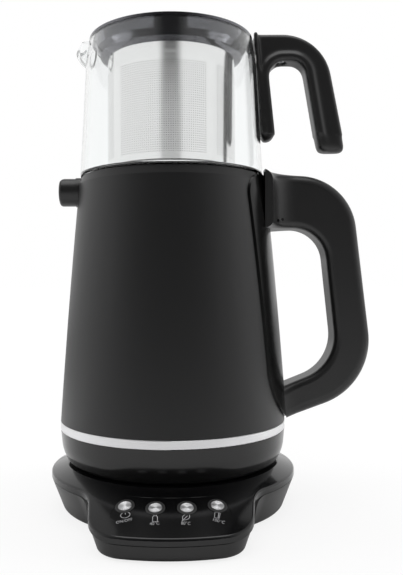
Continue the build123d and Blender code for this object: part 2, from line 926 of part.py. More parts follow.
with BuildPart() as spout_seal:
    add(spout_bar(neck_radius + seal_wall, spout_wall_radius, spout_inner_end, spout_bore_drop))
    add(inside_arc(-shell_wall - slide_gap, shell_low, shell_bevel_height), mode=Mode.INTERSECT)
    add(liner_block(-slide_gap), mode=Mode.SUBTRACT)
    add(spout_passage(0), mode=Mode.SUBTRACT)
finish(spout_seal, "spout_seal")

with BuildPart() as trim_ring:
    with BuildSketch(Plane.XZ):
        with Locations((kettle_base_radius - trim_depth / 2 + slide_gap, skirt_top + trim_height / 2)):
            Rectangle(trim_depth, trim_height)
    revolve(axis=Axis.Z)
    outer_rims = trim_ring.edges().filter_by(GeomType.CIRCLE).sort_by(SortBy.RADIUS)[-2:]
    fillet(outer_rims, radius=trim_edge_radius)
finish(trim_ring, "trim_ring")

# ---- underside: skirt, foot, heater, coupler
coupler_low = connector_height + coupler_gap
heater_low = liner_floor - heater_plate
collar_outer = kettle_base_radius - shell_wall - 4 * slide_gap
collar_inner = collar_outer - foot_wall
skirt_turn = (kettle_base_radius - 0.9, 46.0)
skirt_floor_width = 2.8
plate_low = plateau_height + 3.0
plate_top = plate_low + foot_wall
foot_ring_inner = foot_ring_radius - foot_ring_width
foot_screw_places = [(foot_screw_circle * sin(radians(a)), foot_screw_circle * cos(radians(a)))
                     for a in (0, 120, 240)]

with BuildPart() as kettle_skirt:
    with BuildSketch(Plane.XZ):
        with BuildLine():
            side = Line((kettle_base_radius, skirt_top), skirt_turn)
            TangentArc(side @ 1, (skirt_low_radius, skirt_low), tangent=side % 1)
            Polyline(
                (skirt_low_radius, skirt_low),
                (skirt_low_radius - skirt_floor_width, skirt_low),
                (collar_inner, skirt_turn[1]),
                (collar_inner, shell_low + trim_height),
                (collar_outer, shell_low + trim_height),
                (collar_outer, skirt_top),
                side @ 0,
            )
        make_face()
    revolve(axis=Axis.Z)
finish(kettle_skirt, "kettle_skirt")

with BuildPart() as kettle_foot:
    add(
        solid_of_revolution(
            [
                (skirt_low_radius, skirt_low),
                (foot_ring_radius, plateau_height),
                (foot_ring_inner, plateau_height),
                (foot_ring_inner - 1, plate_low),
                (socket_radius, plate_low),
                (socket_radius, coupler_low),
                (socket_radius + foot_wall, coupler_low),
                (socket_radius + foot_wall, plate_top),
                (skirt_low_radius - skirt_floor_width - slide_gap, plate_top),
                (skirt_low_radius - skirt_floor_width - slide_gap, skirt_low),
            ]
        )
    )
    with BuildSketch(Plane.XY.offset(plate_top)):
        with Locations(*foot_screw_places):
            Circle(foot_post_radius)
    extrude(amount=heater_low - plate_top)
    with BuildSketch(Plane.XY.offset(plate_low)):
        with Locations(*foot_screw_places):
            Circle(screw_head_radius + screw_gap)
    extrude(amount=counterbore_depth, mode=Mode.SUBTRACT)
    with BuildSketch(Plane.XY.offset(plate_low)):
        with Locations(*foot_screw_places):
            Circle(screw_shank_radius + screw_gap)
    extrude(amount=heater_low - plate_low, mode=Mode.SUBTRACT)
finish(kettle_foot, "kettle_foot")

foot_screw_seat = plate_low + counterbore_depth
foot_screw_length = heater_low - foot_screw_seat + heater_plate - 1
finish(screws(foot_screw_places, foot_screw_seat, foot_screw_length), "foot_screws")

with BuildPart() as heater_disc:
    with BuildSketch(Plane.XY.offset(heater_low)):
        Circle(heater_radius)
        with Locations((0, sensor_offset)):
            Circle(sensor_radius, mode=Mode.SUBTRACT)
    extrude(amount=heater_plate)
    with BuildSketch(Plane.XY.offset(heater_low)):
        with Locations(*foot_screw_places):
            Circle(screw_shank_radius)
    extrude(amount=heater_plate - 1, mode=Mode.SUBTRACT)
finish(heater_disc, "heater_plate")

with BuildPart() as heating_element:
    middle = heater_low - element_tube_radius + 1
    start = radians(90 + element_gap_angle / 2)
    with BuildSketch(Plane(origin=(element_radius * cos(start), element_radius * sin(start), middle),
                           x_dir=(cos(start), sin(start), 0),
                           z_dir=(-sin(start), cos(start), 0))):
        Circle(element_tube_radius)
    revolve(axis=Axis.Z, revolution_arc=360 - element_gap_angle)
    with BuildSketch(Plane.XY.offset(heater_low)):
        Circle(heater_radius)
    extrude(amount=element_tube_radius, mode=Mode.SUBTRACT)
    ends = [(element_radius * cos(radians(90 + side * (element_gap_angle / 2 + 4))),
             element_radius * sin(radians(90 + side * (element_gap_angle / 2 + 4)))) for side in (-1, 1)]
    with BuildSketch(Plane.XY.offset(middle)):
        with Locations(*ends):
            Circle(screw_shank_radius)
    extrude(amount=-2.2 * element_tube_radius)
finish(heating_element, "heating_element")

with BuildPart() as kettle_coupler:
    coupler_top = coupler_low + coupler_height
    with BuildSketch(Plane.XY.offset(coupler_low)):
        Circle(coupler_radius)
    extrude(amount=coupler_height)
    key_low = connector_groove_floor + collar_height + slide_gap
    with BuildSketch(Plane.XY.offset(key_low)):
        Circle(groove_out - 2 * face_gap)
        Circle(groove_in + 2 * face_gap, mode=Mode.SUBTRACT)
    extrude(amount=coupler_low - key_low)
    with BuildSketch(Plane.XY.offset(coupler_top)):
        with Locations((-coupler_post_offset, 0), (coupler_post_offset, 0)):
            Circle(coupler_post_radius)
    extrude(amount=heater_low - coupler_top)
finish(kettle_coupler, "kettle_coupler")

with BuildPart() as coupler_contacts:
    contact_low = well_floor + 2
    with BuildSketch(Plane.XY.offset(contact_low)):
        Circle(well_radius - face_gap)
        Circle(contact_pin_radius - 0.4 + face_gap, mode=Mode.SUBTRACT)
    extrude(amount=coupler_low - contact_low)
    with BuildSketch(Plane.XY.offset(contact_low)):
        Circle(slot_out - face_gap)
        Circle(slot_in + 0.7 + face_gap, mode=Mode.SUBTRACT)
    extrude(amount=coupler_low - contact_low)
finish(coupler_contacts, "coupler_contacts")

with BuildPart() as temperature_sensor:
    with BuildSketch(Plane.XY.offset(heater_low)):
        with Locations((0, sensor_offset)):
            Circle(sensor_radius - slide_gap)
    extrude(amount=heater_plate + sensor_height)
    fillet(temperature_sensor.edges().group_by(Axis.Z)[-1], radius=sensor_radius / 2)
    with BuildSketch(Plane.XY.offset(heater_low)):
        with Locations((0, sensor_offset)):
            Circle(sensor_radius + 2)
    extrude(amount=-2)
finish(temperature_sensor, "temperature_sensor")


# ---- handle of the kettle
def out_from_shell(corner):
    """Point given by its distance from the shell and its height."""
    reach, height = corner
    return (shell_radius(height) + reach, height)


def at_axis(near, far):
    """Point where the line from far through near meets the kettle's axis."""
    slope = (far[1] - near[1]) / (far[0] - near[0])
    return (0, near[1] - near[0] * slope)


grip_inside = kettle_mouth_radius - shell_wall

def grip_region(inset=0.0):
    """Outer outline of the handle, filled up to the kettle's middle, shrunk by inset."""
    with BuildSketch(Plane.XZ) as region:
        with BuildLine():
            FilletPolyline(
                at_axis(grip_root_top, out_from_shell(grip_upper_corner)),
                out_from_shell(grip_upper_corner),
                out_from_shell(grip_lower_corner),
                at_axis(grip_root_low, out_from_shell(grip_lower_corner)),
                radius=[0, grip_upper_radius, grip_lower_radius, 0],
                close=True,
            )
        make_face()
        if inset:
            offset(amount=-inset)
    return region.sketch


def grip_hole():
    """Opening for the hand, open towards the kettle."""
    with BuildSketch(Plane.XZ) as opening:
        with BuildLine():
            FilletPolyline(
                (0, hole_root_top),
                out_from_shell(hole_upper_corner),
                out_from_shell(hole_lower_corner),
                at_axis(hole_root_low, out_from_shell(hole_lower_corner)),
                radius=[0, hole_upper_radius, hole_lower_radius, 0],
                close=True,
            )
        make_face()
    return opening.sketch


def grip_plan():
    """Handle seen from above: parallel sides that flare out at the kettle."""
    root = shell_radius(hole_root_top)
    straight = root + flare_length
    with BuildSketch(Plane.XY) as plan:
        with BuildLine():
            for side in (-1, 1):
                flare = TangentArc(
                    (straight, side * grip_half_width), (root, side * flare_half_width), tangent=(-1, 0)
                )
                Line(flare @ 1, (grip_inside, side * flare_half_width))
                Line(flare @ 0, (2 * kettle_base_radius, side * grip_half_width))
            for reach, half in ((grip_inside, flare_half_width), (2 * kettle_base_radius, grip_half_width)):
                Line((reach, -half), (reach, half))
        make_face()
    return plan.sketch


grip_top = at_axis(grip_root_top, out_from_shell(grip_upper_corner))[1]


def on_grip_side(edge):
    """True for the long edges along the handle's two sides."""
    middle = edge @ 0.5
    across = (edge @ 0.1).Y * (edge @ 0.9).Y < 0
    return not across and grip_half_width - 1 < abs(middle.Y) < flare_half_width - 1


with BuildPart() as whole_handle:
    extrude(to_extrude=grip_region(), amount=flare_half_width, both=True)
    extrude(to_extrude=grip_plan(), amount=grip_top, mode=Mode.INTERSECT)
    fillet(whole_handle.edges().filter_by(on_grip_side), radius=grip_edge_radius)
    extrude(to_extrude=grip_hole(), amount=flare_half_width, both=True, mode=Mode.SUBTRACT)
    fillet(whole_handle.edges(Select.LAST).filter_by(on_grip_side), radius=hole_edge_radius)
    add(inside_arc(panel_gap + panel_wall, skirt_low, grip_top), mode=Mode.SUBTRACT)

with BuildPart() as spine_zone:
    with BuildSketch(Plane.XZ):
        add(grip_region())
        add(grip_region(spine_wall), mode=Mode.SUBTRACT)
        with Locations((0, grip_top)):
            Rectangle(2 * spine_start, grip_top, mode=Mode.SUBTRACT)
    extrude(amount=flare_half_width, both=True)

with BuildPart() as kettle_handle:
    add(whole_handle)
    add(spine_zone, mode=Mode.SUBTRACT)
    add(handle_screw_bars(screw_shank_radius, 0, handle_screw_reach), mode=Mode.SUBTRACT)
    with BuildSketch(Plane.XZ.offset(grip_half_width + vent_depth)):
        for step in (-1, 0, 1):
            with Locations((vent_place[0] + step * vent_pitch, vent_place[1] + step * vent_rise)):
                Circle(vent_radius)
    extrude(amount=flare_half_width, mode=Mode.SUBTRACT)
finish(kettle_handle, "kettle_handle")

with BuildPart() as handle_spine:
    add(whole_handle)
    add(spine_zone, mode=Mode.INTERSECT)
finish(handle_spine, "handle_spine")

with BuildPart() as handle_panel:
    with BuildSketch(Plane.XZ):
        with BuildLine():
            outer = shell_arc(panel_gap + panel_wall, panel_low, shell_top)
            inner = shell_arc(panel_gap, panel_low, shell_top)
            Line(outer @ 1, inner @ 1)
            Line(inner @ 0, outer @ 0)
        make_face()
    revolve(axis=Axis.Z)
    with BuildSketch(Plane.YZ.offset(grip_inside / 2)):
        with BuildLine():
            FilletPolyline(
                (-panel_half_width, shell_top),
                (panel_half_width, shell_top),
                (panel_half_width, panel_low),
                (-panel_half_width, panel_low),
                radius=[panel_top_corner, panel_top_corner, panel_low_corner, panel_low_corner],
                close=True,
            )
        make_face()
    extrude(amount=kettle_base_radius, mode=Mode.INTERSECT)
    add(handle_screw_bars(screw_shank_radius + screw_gap, -shell_wall, 3 * shell_wall), mode=Mode.SUBTRACT)
finish(handle_panel, "handle_panel")

with BuildPart() as handle_screws:
    add(handle_screw_bars(screw_head_radius, handle_screw_seat - screw_head_height, screw_head_height))
    add(handle_screw_bars(screw_shank_radius, handle_screw_seat, handle_screw_reach - handle_screw_seat))
finish(handle_screws, "handle_screws")


# =============================================================== teapot
def glass_solid(inset):
    """Teapot body, filled, with its wall moved in by inset."""
    floor = mouth_seat_height + (glass_floor if inset else 0)
    top = glass_rim_height
    with BuildPart() as body:
        with BuildSketch(Plane.XZ):
            with BuildLine():
                wall = FilletPolyline(
                    (0, floor),
                    (glass_radius(floor) - inset, floor),
                    (glass_radius(glass_shoulder_height) - inset, glass_shoulder_height),
                    (glass_rim_radius - inset, top),
                    radius=[glass_corner - inset / 2, glass_shoulder_turn],
                )
                Polyline(wall @ 1, (0, top), wall @ 0)
            make_face()
        revolve(axis=Axis.Z)
    return body.part


def lip_solid(inset):
    """Bulge of the pouring lip, filled, with its wall moved in by inset."""
    with BuildPart() as bulge:
        with Locations((-lip_centre[0], 0, lip_centre[1])):
            Sphere(lip_radius - inset)
        slope = Vector(lip_tip_radius - lip_top_radius, 0, lip_top_height - lip_tip_height)
        split(
            bisect_by=Plane(
                origin=(-lip_top_radius, 0, lip_top_height), x_dir=(0, 1, 0), z_dir=(-slope.Z, 0, slope.X)
            ),
            keep=Keep.BOTTOM,
        )
    return bulge.part


with BuildPart() as glass_pot:
    add(glass_solid(0))
    add(lip_solid(0))
    with BuildSketch(Plane.XY.offset(mouth_seat_height)):
        Circle(nest_radius)
    extrude(amount=-nest_depth)
    fillet(glass_pot.edges().group_by(Axis.Z)[0], radius=nest_depth / 3)
    add(glass_solid(glass_wall), mode=Mode.SUBTRACT)
    add(lip_solid(glass_wall), mode=Mode.SUBTRACT)
    with BuildSketch(Plane.XY.offset(glass_rim_height)):
        Circle(glass_foot_radius + lip_radius)
    extrude(amount=lip_radius, mode=Mode.SUBTRACT)
finish(glass_pot, "glass_pot")


# ---- handle of the teapot
def lean_radius(height):
    """Inside of the shield above the glass's shoulder, where it leans in."""
    share = (height - glass_shoulder_height) / (shield_top - glass_shoulder_height)
    return glass_shoulder_radius + share * (shield_top_inside - glass_shoulder_radius)


def pot_fill(gap):
    """Everything inside a wall that follows the glass, gap outside it."""
    wall = [
        (glass_radius(strap_end) + gap, strap_end),
        (glass_shoulder_radius + gap, glass_shoulder_height),
        (shield_top_inside + gap, shield_top),
    ]
    return solid_of_revolution([(0, strap_end), *wall, (0, shield_top)])


def shield_front(inset=0.0, top=shield_top):
    """Outline of the shield seen along the handle: broad at the top, a rounded tip below."""
    with BuildSketch(Plane.YZ) as front:
        with BuildLine():
            FilletPolyline(
                (-shield_top_half_width, shield_top),
                (shield_top_half_width, shield_top),
                (shield_low_half_width, shield_low),
                (-shield_low_half_width, shield_low),
                radius=[0, 0, shield_tip_radius, shield_tip_radius],
                close=True,
            )
        make_face()
        if inset:
            offset(amount=-inset)
        with Locations((0, top + shield_top)):
            Rectangle(4 * shield_top_half_width, 2 * shield_top, mode=Mode.SUBTRACT)
    return front.sketch


def shield_layer(gap, thickness, inset, top):
    """Part of the jacket behind the shield's outline."""
    with BuildPart() as layer:
        add(pot_fill(gap + thickness))
        extrude(to_extrude=shield_front(inset, top), amount=2 * glass_foot_radius, mode=Mode.INTERSECT)
        if gap:
            add(pot_fill(gap), mode=Mode.SUBTRACT)
    return layer.part


def bracket_arm(clearance):
    """Flat arm that reaches from the bracket into the handle."""
    with BuildPart() as arm:
        with BuildSketch(Plane.XY.offset(bracket_arm_height + clearance)):
            with Locations((plate_face + bracket_arm_length / 2, 0)):
                Rectangle(bracket_arm_length + 2 * clearance, 2 * (bracket_arm_half_width + clearance))
        extrude(amount=-bracket_arm_wall - 2 * clearance)
    return arm.part


pad_outer = bond_gap + bond_wall
bracket_outer = pad_outer + bracket_wall
plate_face = lean_radius(bracket_arm_height) + pad_outer + bracket_wall / 2

finish(shield_layer(bond_gap, bond_wall, shield_wall, glass_shoulder_height), "bond_pad")

with BuildPart() as handle_bracket:
    add(shield_layer(pad_outer, bracket_wall, shield_wall, bracket_arm_height))
    add(bracket_arm(0))
    with BuildSketch(Plane.XY.offset(bracket_arm_height)):
        with Locations((cane_screw_place, 0)):
            Circle(screw_shank_radius)
    extrude(amount=-bracket_arm_wall, mode=Mode.SUBTRACT)
finish(handle_bracket, "handle_bracket")


def finger_gap():
    """Opening between the shield's strap and the grip, open at the bottom."""
    with BuildSketch(Plane.XZ) as opening:
        with BuildLine():
            FilletPolyline(
                (gap_left[0], gap_top),
                (gap_right[0], gap_top),
                (gap_right[1], gap_low),
                (gap_left[1], gap_low),
                radius=[gap_radius, gap_radius, 0, 0],
                close=True,
            )
        make_face()
    return opening.sketch


def cane_region():
    """Outline of handle and strap, the finger gap taken out."""
    with BuildSketch(Plane.XZ) as region:
        with BuildLine():
            FilletPolyline(
                (shield_top_inside, shield_top),
                cane_corner,
                cane_end_outer,
                cane_end_inner,
                (gap_left[1], strap_end),
                (shield_top_inside, strap_end),
                radius=[0, cane_corner_radius, cane_end_outer_radius, cane_end_inner_radius, 0, 0],
                close=True,
            )
        make_face()
        add(finger_gap(), mode=Mode.SUBTRACT)
        strap_corners = [v for v in region.vertices() if abs(v.Y + v.Z - strap_end) < 0.01]
        fillet(sorted(strap_corners, key=lambda v: v.X)[1], radius=strap_tip_radius)
    return region.sketch


def bead_region():
    """Thicker rim round the finger gap."""
    with BuildSketch(Plane.XZ) as region:
        add(finger_gap())
        offset(amount=bead_width)
        add(cane_region(), mode=Mode.INTERSECT)
    return region.sketch


with BuildPart() as bead:
    extrude(to_extrude=bead_region(), amount=bead_half_width, both=True)
    fillet(bead.faces().filter_by(Axis.Y).edges(), radius=bead_edge_radius)

with BuildPart() as teapot_handle:
    extrude(to_extrude=cane_region(), amount=web_half_width, both=True)
    chamfer(teapot_handle.faces().filter_by(Axis.Y).edges(), length=web_chamfer)
    add(bead)
    add(shield_layer(0, shield_gap + shield_wall, 0, shield_top))
    add(pot_fill(shield_gap), mode=Mode.SUBTRACT)
    add(shield_layer(0, bracket_outer + slide_gap, shield_wall - slide_gap, bracket_arm_height + slide_gap),
        mode=Mode.SUBTRACT)
    add(bracket_arm(slide_gap), mode=Mode.SUBTRACT)
    with BuildSketch(Plane.XY.offset(gap_top + cane_screw_recess)):
        with Locations((cane_screw_place, 0)):
            Circle(cane_screw_recess_radius)
    extrude(amount=-gap_radius, mode=Mode.SUBTRACT)
    with BuildSketch(Plane.XY.offset(gap_top)):
        with Locations((cane_screw_place, 0)):
            Circle(screw_shank_radius + screw_gap)
    extrude(amount=bracket_arm_height + cane_screw_reach - gap_top, mode=Mode.SUBTRACT)
finish(teapot_handle, "teapot_handle")

cane_screw_seat = gap_top + cane_screw_recess
finish(
    screws([(cane_screw_place, 0)], cane_screw_seat, bracket_arm_height + cane_screw_reach - cane_screw_seat),
    "teapot_handle_screw",
)


# ============================================================== infuser
funnel_top = glass_rim_height + funnel_flange
with BuildPart() as infuser_funnel:
    funnel_bore = basket_radius + slide_gap
    add(
        solid_of_revolution(
            [
                (glass_rim_radius - slide_gap, glass_rim_height),
                (funnel_outer_radius, glass_rim_height),
                funnel_shoulder,
                funnel_knuckle,
                (funnel_bore + slide_gap, funnel_low),
                (funnel_bore, funnel_low),
                (funnel_bore, basket_top),
                (funnel_bore + funnel_wall, basket_top),
                (funnel_bore + funnel_wall, funnel_low + funnel_wall + 1),
                (funnel_knuckle[0] - funnel_wall, funnel_knuckle[1] + 1),
                (funnel_shoulder[0] - funnel_wall, funnel_shoulder[1]),
                (funnel_outer_radius - funnel_wall, funnel_top),
                (glass_rim_radius - slide_gap, funnel_top),
            ]
        )
    )
    with BuildSketch(Plane.XY.offset(funnel_top - pour_slot_height)):
        with Locations((-funnel_outer_radius, 0)):
            Rectangle(3 * funnel_wall + 2 * (glass_rim_radius - funnel_outer_radius), 2 * pour_slot_half_width)
    extrude(amount=pour_slot_height - funnel_flange, mode=Mode.SUBTRACT)
finish(infuser_funnel, "infuser_funnel")

with BuildPart() as infuser_basket:
    with BuildSketch(Plane.XY.offset(basket_low)):
        Circle(basket_radius)
        Circle(basket_radius - basket_wall, mode=Mode.SUBTRACT)
    extrude(amount=basket_top - basket_low)
    with BuildSketch(Plane.XY.offset(basket_top)):
        Circle(funnel_bore + funnel_wall)
        Circle(basket_radius - basket_wall, mode=Mode.SUBTRACT)
    extrude(amount=basket_wall)
finish(infuser_basket, "infuser_basket")

with BuildPart() as infuser_base:
    base_radius_inside = basket_radius - basket_wall
    with BuildSketch(Plane.XY.offset(basket_low)):
        Circle(base_radius_inside)
    extrude(amount=base_rim_height)
    with BuildSketch(Plane.XY.offset(basket_low + basket_wall)):
        Circle(base_radius_inside - basket_wall)
    extrude(amount=base_rim_height, mode=Mode.SUBTRACT)
finish(infuser_base, "infuser_base")


# ================================================================== lid
with BuildPart() as lid_cover:
    crown = funnel_top + lid_edge + lid_dome_height
    with BuildSketch(Plane.XZ):
        with BuildLine():
            Polyline(
                (0, funnel_top),
                (lid_radius, funnel_top),
                (lid_radius, funnel_top + lid_edge),
                (lid_dome_radius, funnel_top + lid_edge + lid_dome_shoulder),
            )
            ThreePointArc(
                (lid_dome_radius, funnel_top + lid_edge + lid_dome_shoulder),
                (lid_dome_radius / 2, crown - (lid_dome_height - lid_dome_shoulder) / 4),
                (0, crown),
            )
            Line((0, crown), (0, funnel_top))
        make_face()
    revolve(axis=Axis.Z)
    with BuildSketch(Plane.XY.offset(funnel_top)):
        Circle(lid_skirt_radius)
    extrude(amount=-lid_skirt_depth)
    with BuildSketch(Plane.XY.offset(funnel_top - lid_skirt_depth)):
        Circle(lid_skirt_radius - lid_skirt_wall)
    extrude(amount=lid_skirt_depth + lid_edge - lid_wall / 2, mode=Mode.SUBTRACT)
    with BuildSketch(Plane.XY.offset(funnel_top + lid_edge - lid_wall / 2)):
        Circle(knob_neck_radius)
    extrude(amount=-lid_wall)
    with BuildSketch(Plane.XY.offset(funnel_top - lid_skirt_depth)):
        Circle(knob_screw_radius + screw_gap)
    extrude(amount=crown - funnel_top + lid_skirt_depth, mode=Mode.SUBTRACT)
finish(lid_cover, "lid_cover")

with BuildPart() as lid_knob:
    knob_top = crown + knob_height
    with BuildSketch(Plane.XZ):
        with BuildLine():
            FilletPolyline(
                (0, crown),
                (knob_neck_radius, crown),
                (knob_neck_radius, crown + knob_neck_height),
                (knob_radius, crown + knob_neck_height + 1),
                (knob_radius, knob_top),
                (0, knob_top),
                radius=[0, 0, 1.5, 2.5, 3.0, 0],
                close=True,
            )
        make_face()
    revolve(axis=Axis.Z)
    with BuildSketch(Plane.XY.offset(crown)):
        Circle(knob_screw_radius)
    extrude(amount=knob_screw_reach, mode=Mode.SUBTRACT)
finish(lid_knob, "lid_knob")

knob_screw_seat = funnel_top + lid_edge - lid_wall / 2 - lid_wall
with BuildPart() as lid_screw:
    with BuildSketch(Plane.XY.offset(knob_screw_seat - knob_screw_head)):
        Circle(knob_screw_head_radius)
    extrude(amount=knob_screw_head)
    with BuildSketch(Plane.XY.offset(knob_screw_seat)):
        Circle(knob_screw_radius)
    extrude(amount=crown + knob_screw_reach - 1 - knob_screw_seat)
finish(lid_screw, "lid_screw")
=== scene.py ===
# %% [markdown]
# # An automatic tea maker, dressed in Blender
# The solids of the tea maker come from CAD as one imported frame: a powered base with
# four push buttons, a cordless kettle, and a glass teapot with a steel infuser.
# Here every solid gets its finish, and what is too fine for CAD is modelled on top.

# %% Load the frame
from math import atan2, cos, degrees, hypot, pi, radians, sin, tan

import bmesh
import bpy
from mathutils import Matrix, Vector


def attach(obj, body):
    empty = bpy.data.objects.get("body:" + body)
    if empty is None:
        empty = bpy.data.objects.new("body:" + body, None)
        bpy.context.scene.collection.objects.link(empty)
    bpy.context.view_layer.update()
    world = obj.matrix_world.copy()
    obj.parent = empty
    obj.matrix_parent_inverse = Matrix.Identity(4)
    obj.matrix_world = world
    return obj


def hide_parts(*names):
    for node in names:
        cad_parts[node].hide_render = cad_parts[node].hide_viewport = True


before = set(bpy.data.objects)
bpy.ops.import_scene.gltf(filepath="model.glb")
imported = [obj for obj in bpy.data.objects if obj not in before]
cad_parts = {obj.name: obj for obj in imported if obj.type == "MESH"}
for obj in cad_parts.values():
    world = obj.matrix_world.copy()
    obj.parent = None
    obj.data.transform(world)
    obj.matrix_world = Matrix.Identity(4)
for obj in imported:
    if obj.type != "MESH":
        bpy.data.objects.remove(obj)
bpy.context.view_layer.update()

print("nodes:", len(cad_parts))

# %% [markdown]
# ## Camera
# The tea maker is looked at from almost straight in front of its buttons, from the height
# of the kettle's middle and from only half a metre away, so the base is seen from above
# and the teapot from below. The camera looks level, stands a little to the right and is
# rolled by a fraction of a degree, and a small shift moves the tea maker left of the
# middle, because the two handles take up the room on the right.

# %% Camera
MM = 0.001
frame_width, frame_height = 403, 575
camera_distance = 0.5
camera_height = 0.157
camera_side = 0.0077
camera_roll = radians(0.3)
focal_pixels = 680.0
axis_pixel = 172.3
horizon_pixel = 285.0
nearest_seen = 10 * MM

camera_data = bpy.data.cameras.new("camera")
camera = bpy.data.objects.new("camera", camera_data)
bpy.context.scene.collection.objects.link(camera)
bpy.context.scene.camera = camera
camera.location = (camera_side, -camera_distance, camera_height)
camera.rotation_euler = (radians(90), camera_roll, 0.0)
camera_data.sensor_fit = "AUTO"
camera_data.sensor_width = 36.0
camera_data.lens = focal_pixels / frame_height * camera_data.sensor_width
aim_pixel = axis_pixel + focal_pixels * camera_side / camera_distance
camera_data.shift_x = (frame_width / 2 - aim_pixel) / frame_height
camera_data.shift_y = -(frame_height / 2 - horizon_pixel) / frame_height
camera_data.clip_start = nearest_seen
print("lens", round(camera_data.lens, 2), "mm")


# %% [markdown]
# ## Helpers for shader trees
# A shader tree is long to write link by link, so small helpers stand for the steps that
# repeat: add a node, feed an input, calculate with two values, map one span of values to
# another, and blend. Each of them takes a number or the output of another node.

# %% Node helpers
def node(tree, kind, **settings):
    """Add a node and set its properties and its unlinked inputs by name."""
    made = tree.nodes.new(kind)
    for name, value in settings.items():
        if hasattr(made, name):
            setattr(made, name, value)
        else:
            made.inputs[name.replace("_", " ")].default_value = value
    return made


def feed(tree, value, target):
    """Link an output to an input, or set the input where the value is a number."""
    if isinstance(value, bpy.types.NodeSocket):
        tree.links.new(value, target)
    else:
        target.default_value = value


def calculate(tree, operation, first, second=0.0):
    """Math with two numbers or outputs."""
    made = node(tree, "ShaderNodeMath", operation=operation)
    feed(tree, first, made.inputs[0])
    feed(tree, second, made.inputs[1])
    return made.outputs["Value"]


def remap(tree, value, span=(0.0, 1.0), onto=(0.0, 1.0), smooth=False):
    """Map one span of values onto another and hold the ends."""
    made = node(tree, "ShaderNodeMapRange")
    made.interpolation_type = "SMOOTHSTEP" if smooth else "LINEAR"
    made.inputs["From Min"].default_value, made.inputs["From Max"].default_value = span
    made.inputs["To Min"].default_value, made.inputs["To Max"].default_value = onto
    feed(tree, value, made.inputs["Value"])
    return made.outputs["Result"]


def blend(tree, share, first, second):
    """Mix two numbers or outputs; a share of 1 gives the second."""
    made = node(tree, "ShaderNodeMix", data_type="FLOAT")
    feed(tree, share, made.inputs["Factor"])
    feed(tree, first, made.inputs["A"])
    feed(tree, second, made.inputs["B"])
    return made.outputs["Result"]


# %% [markdown]
# ## Studio
# Black gloss only shows what it mirrors, so the room itself is the lamp: it is dim in
# front and grows bright towards the sides and the back, which leaves the middle of the
# shell black and draws pale bands down its sides. Soft panels add light, and only the one
# overhead is mirrored. The room is white to the camera and through the glass. The steel
# inside the glass mirrors a white room with one narrow dark gap in front, which is paler
# low down.
#
# A ray that left through the glass is a transmission ray, and its glossy depth tells
# whether something inside the glass mirrored it first.

# %% World
front_span, front_dim, side_bright = (-0.97, -0.05), 0.07, 0.95
ceiling_span, ceiling_share = (0.25, 0.95), 0.55
gap_span, gap_dim = (0.10, 0.36), 0.02
gap_foot_span, gap_foot_pale = (0.28, 0.345), 0.6
mirrored_once = 0.5  # glossy depth beyond which a ray was mirrored at least once

world = bpy.data.worlds.new("studio")
bpy.context.scene.world = world
bpy.context.scene.view_settings.view_transform = "Standard"
world.use_nodes = True
tree = world.node_tree
tree.nodes.clear()
room_direction = node(tree, "ShaderNodeTexCoord")
room_axes = node(tree, "ShaderNodeSeparateXYZ")
tree.links.new(room_direction.outputs["Generated"], room_axes.inputs["Vector"])
path = node(tree, "ShaderNodeLightPath").outputs

room_depth = remap(tree, room_axes.outputs["Y"], front_span, (front_dim, side_bright), smooth=True)
room_height = remap(tree, room_axes.outputs["Z"], ceiling_span, (1.0, ceiling_share), smooth=True)
room_light = calculate(tree, "MULTIPLY", room_depth, room_height)

gap_sideways = calculate(tree, "ABSOLUTE", room_axes.outputs["X"])
gap_edge = remap(tree, gap_sideways, gap_span, (gap_dim, 1.0), smooth=True)
gap_foot = remap(tree, room_axes.outputs["Z"], gap_foot_span, (gap_foot_pale, 0.0), smooth=True)
gap_behind = calculate(tree, "GREATER_THAN", room_axes.outputs["Y"], 0.0)
gap_or_foot = calculate(tree, "MAXIMUM", gap_edge, gap_foot)
room_gap = calculate(tree, "MAXIMUM", gap_or_foot, gap_behind)

not_mirrored = calculate(tree, "LESS_THAN", path["Glossy Depth"], mirrored_once)
straight_through = calculate(tree, "MULTIPLY", path["Is Transmission Ray"], not_mirrored)
seen_white = calculate(tree, "MAXIMUM", path["Is Camera Ray"], straight_through)
mirrored_room = blend(tree, path["Is Transmission Ray"], room_light, room_gap)
room_strength = blend(tree, seen_white, mirrored_room, 1.0)

background = node(tree, "ShaderNodeBackground", Color=(1.0, 1.0, 1.0, 1.0))
tree.links.new(room_strength, background.inputs["Strength"])
world_output = node(tree, "ShaderNodeOutputWorld")
tree.links.new(background.outputs["Background"], world_output.inputs["Surface"])
print("room nodes:", len(tree.nodes))


# %% Soft panels
def soft_panel(name, place, aim, size, watts, mirrored=False):
    """Add a rectangular area lamp at a place, turned towards a point."""
    data = bpy.data.lights.new(name, "AREA")
    data.shape = "RECTANGLE"
    data.size, data.size_y = size
    data.energy = watts
    lamp = bpy.data.objects.new(name, data)
    lamp.location = place
    lamp.rotation_euler = (Vector(aim) - Vector(place)).to_track_quat("-Z", "Y").to_euler()
    lamp.visible_glossy = mirrored
    lamp.visible_transmission = False
    bpy.context.scene.collection.objects.link(lamp)


for side, name in ((-1, "panel_left"), (1, "panel_right")):
    soft_panel(name, place=(side * 0.75, 0.12, 0.28), aim=(0.0, 0.0, 0.18), size=(0.35, 0.75), watts=3.2)
soft_panel("panel_top", place=(0.0, -0.05, 0.95), aim=(0.0, 0.0, 0.2), size=(0.8, 0.6), watts=2.6,
           mirrored=True)
soft_panel("panel_front", place=(-0.15, -1.1, 0.75), aim=(0.0, 0.0, 0.15), size=(0.7, 0.35), watts=1.2)

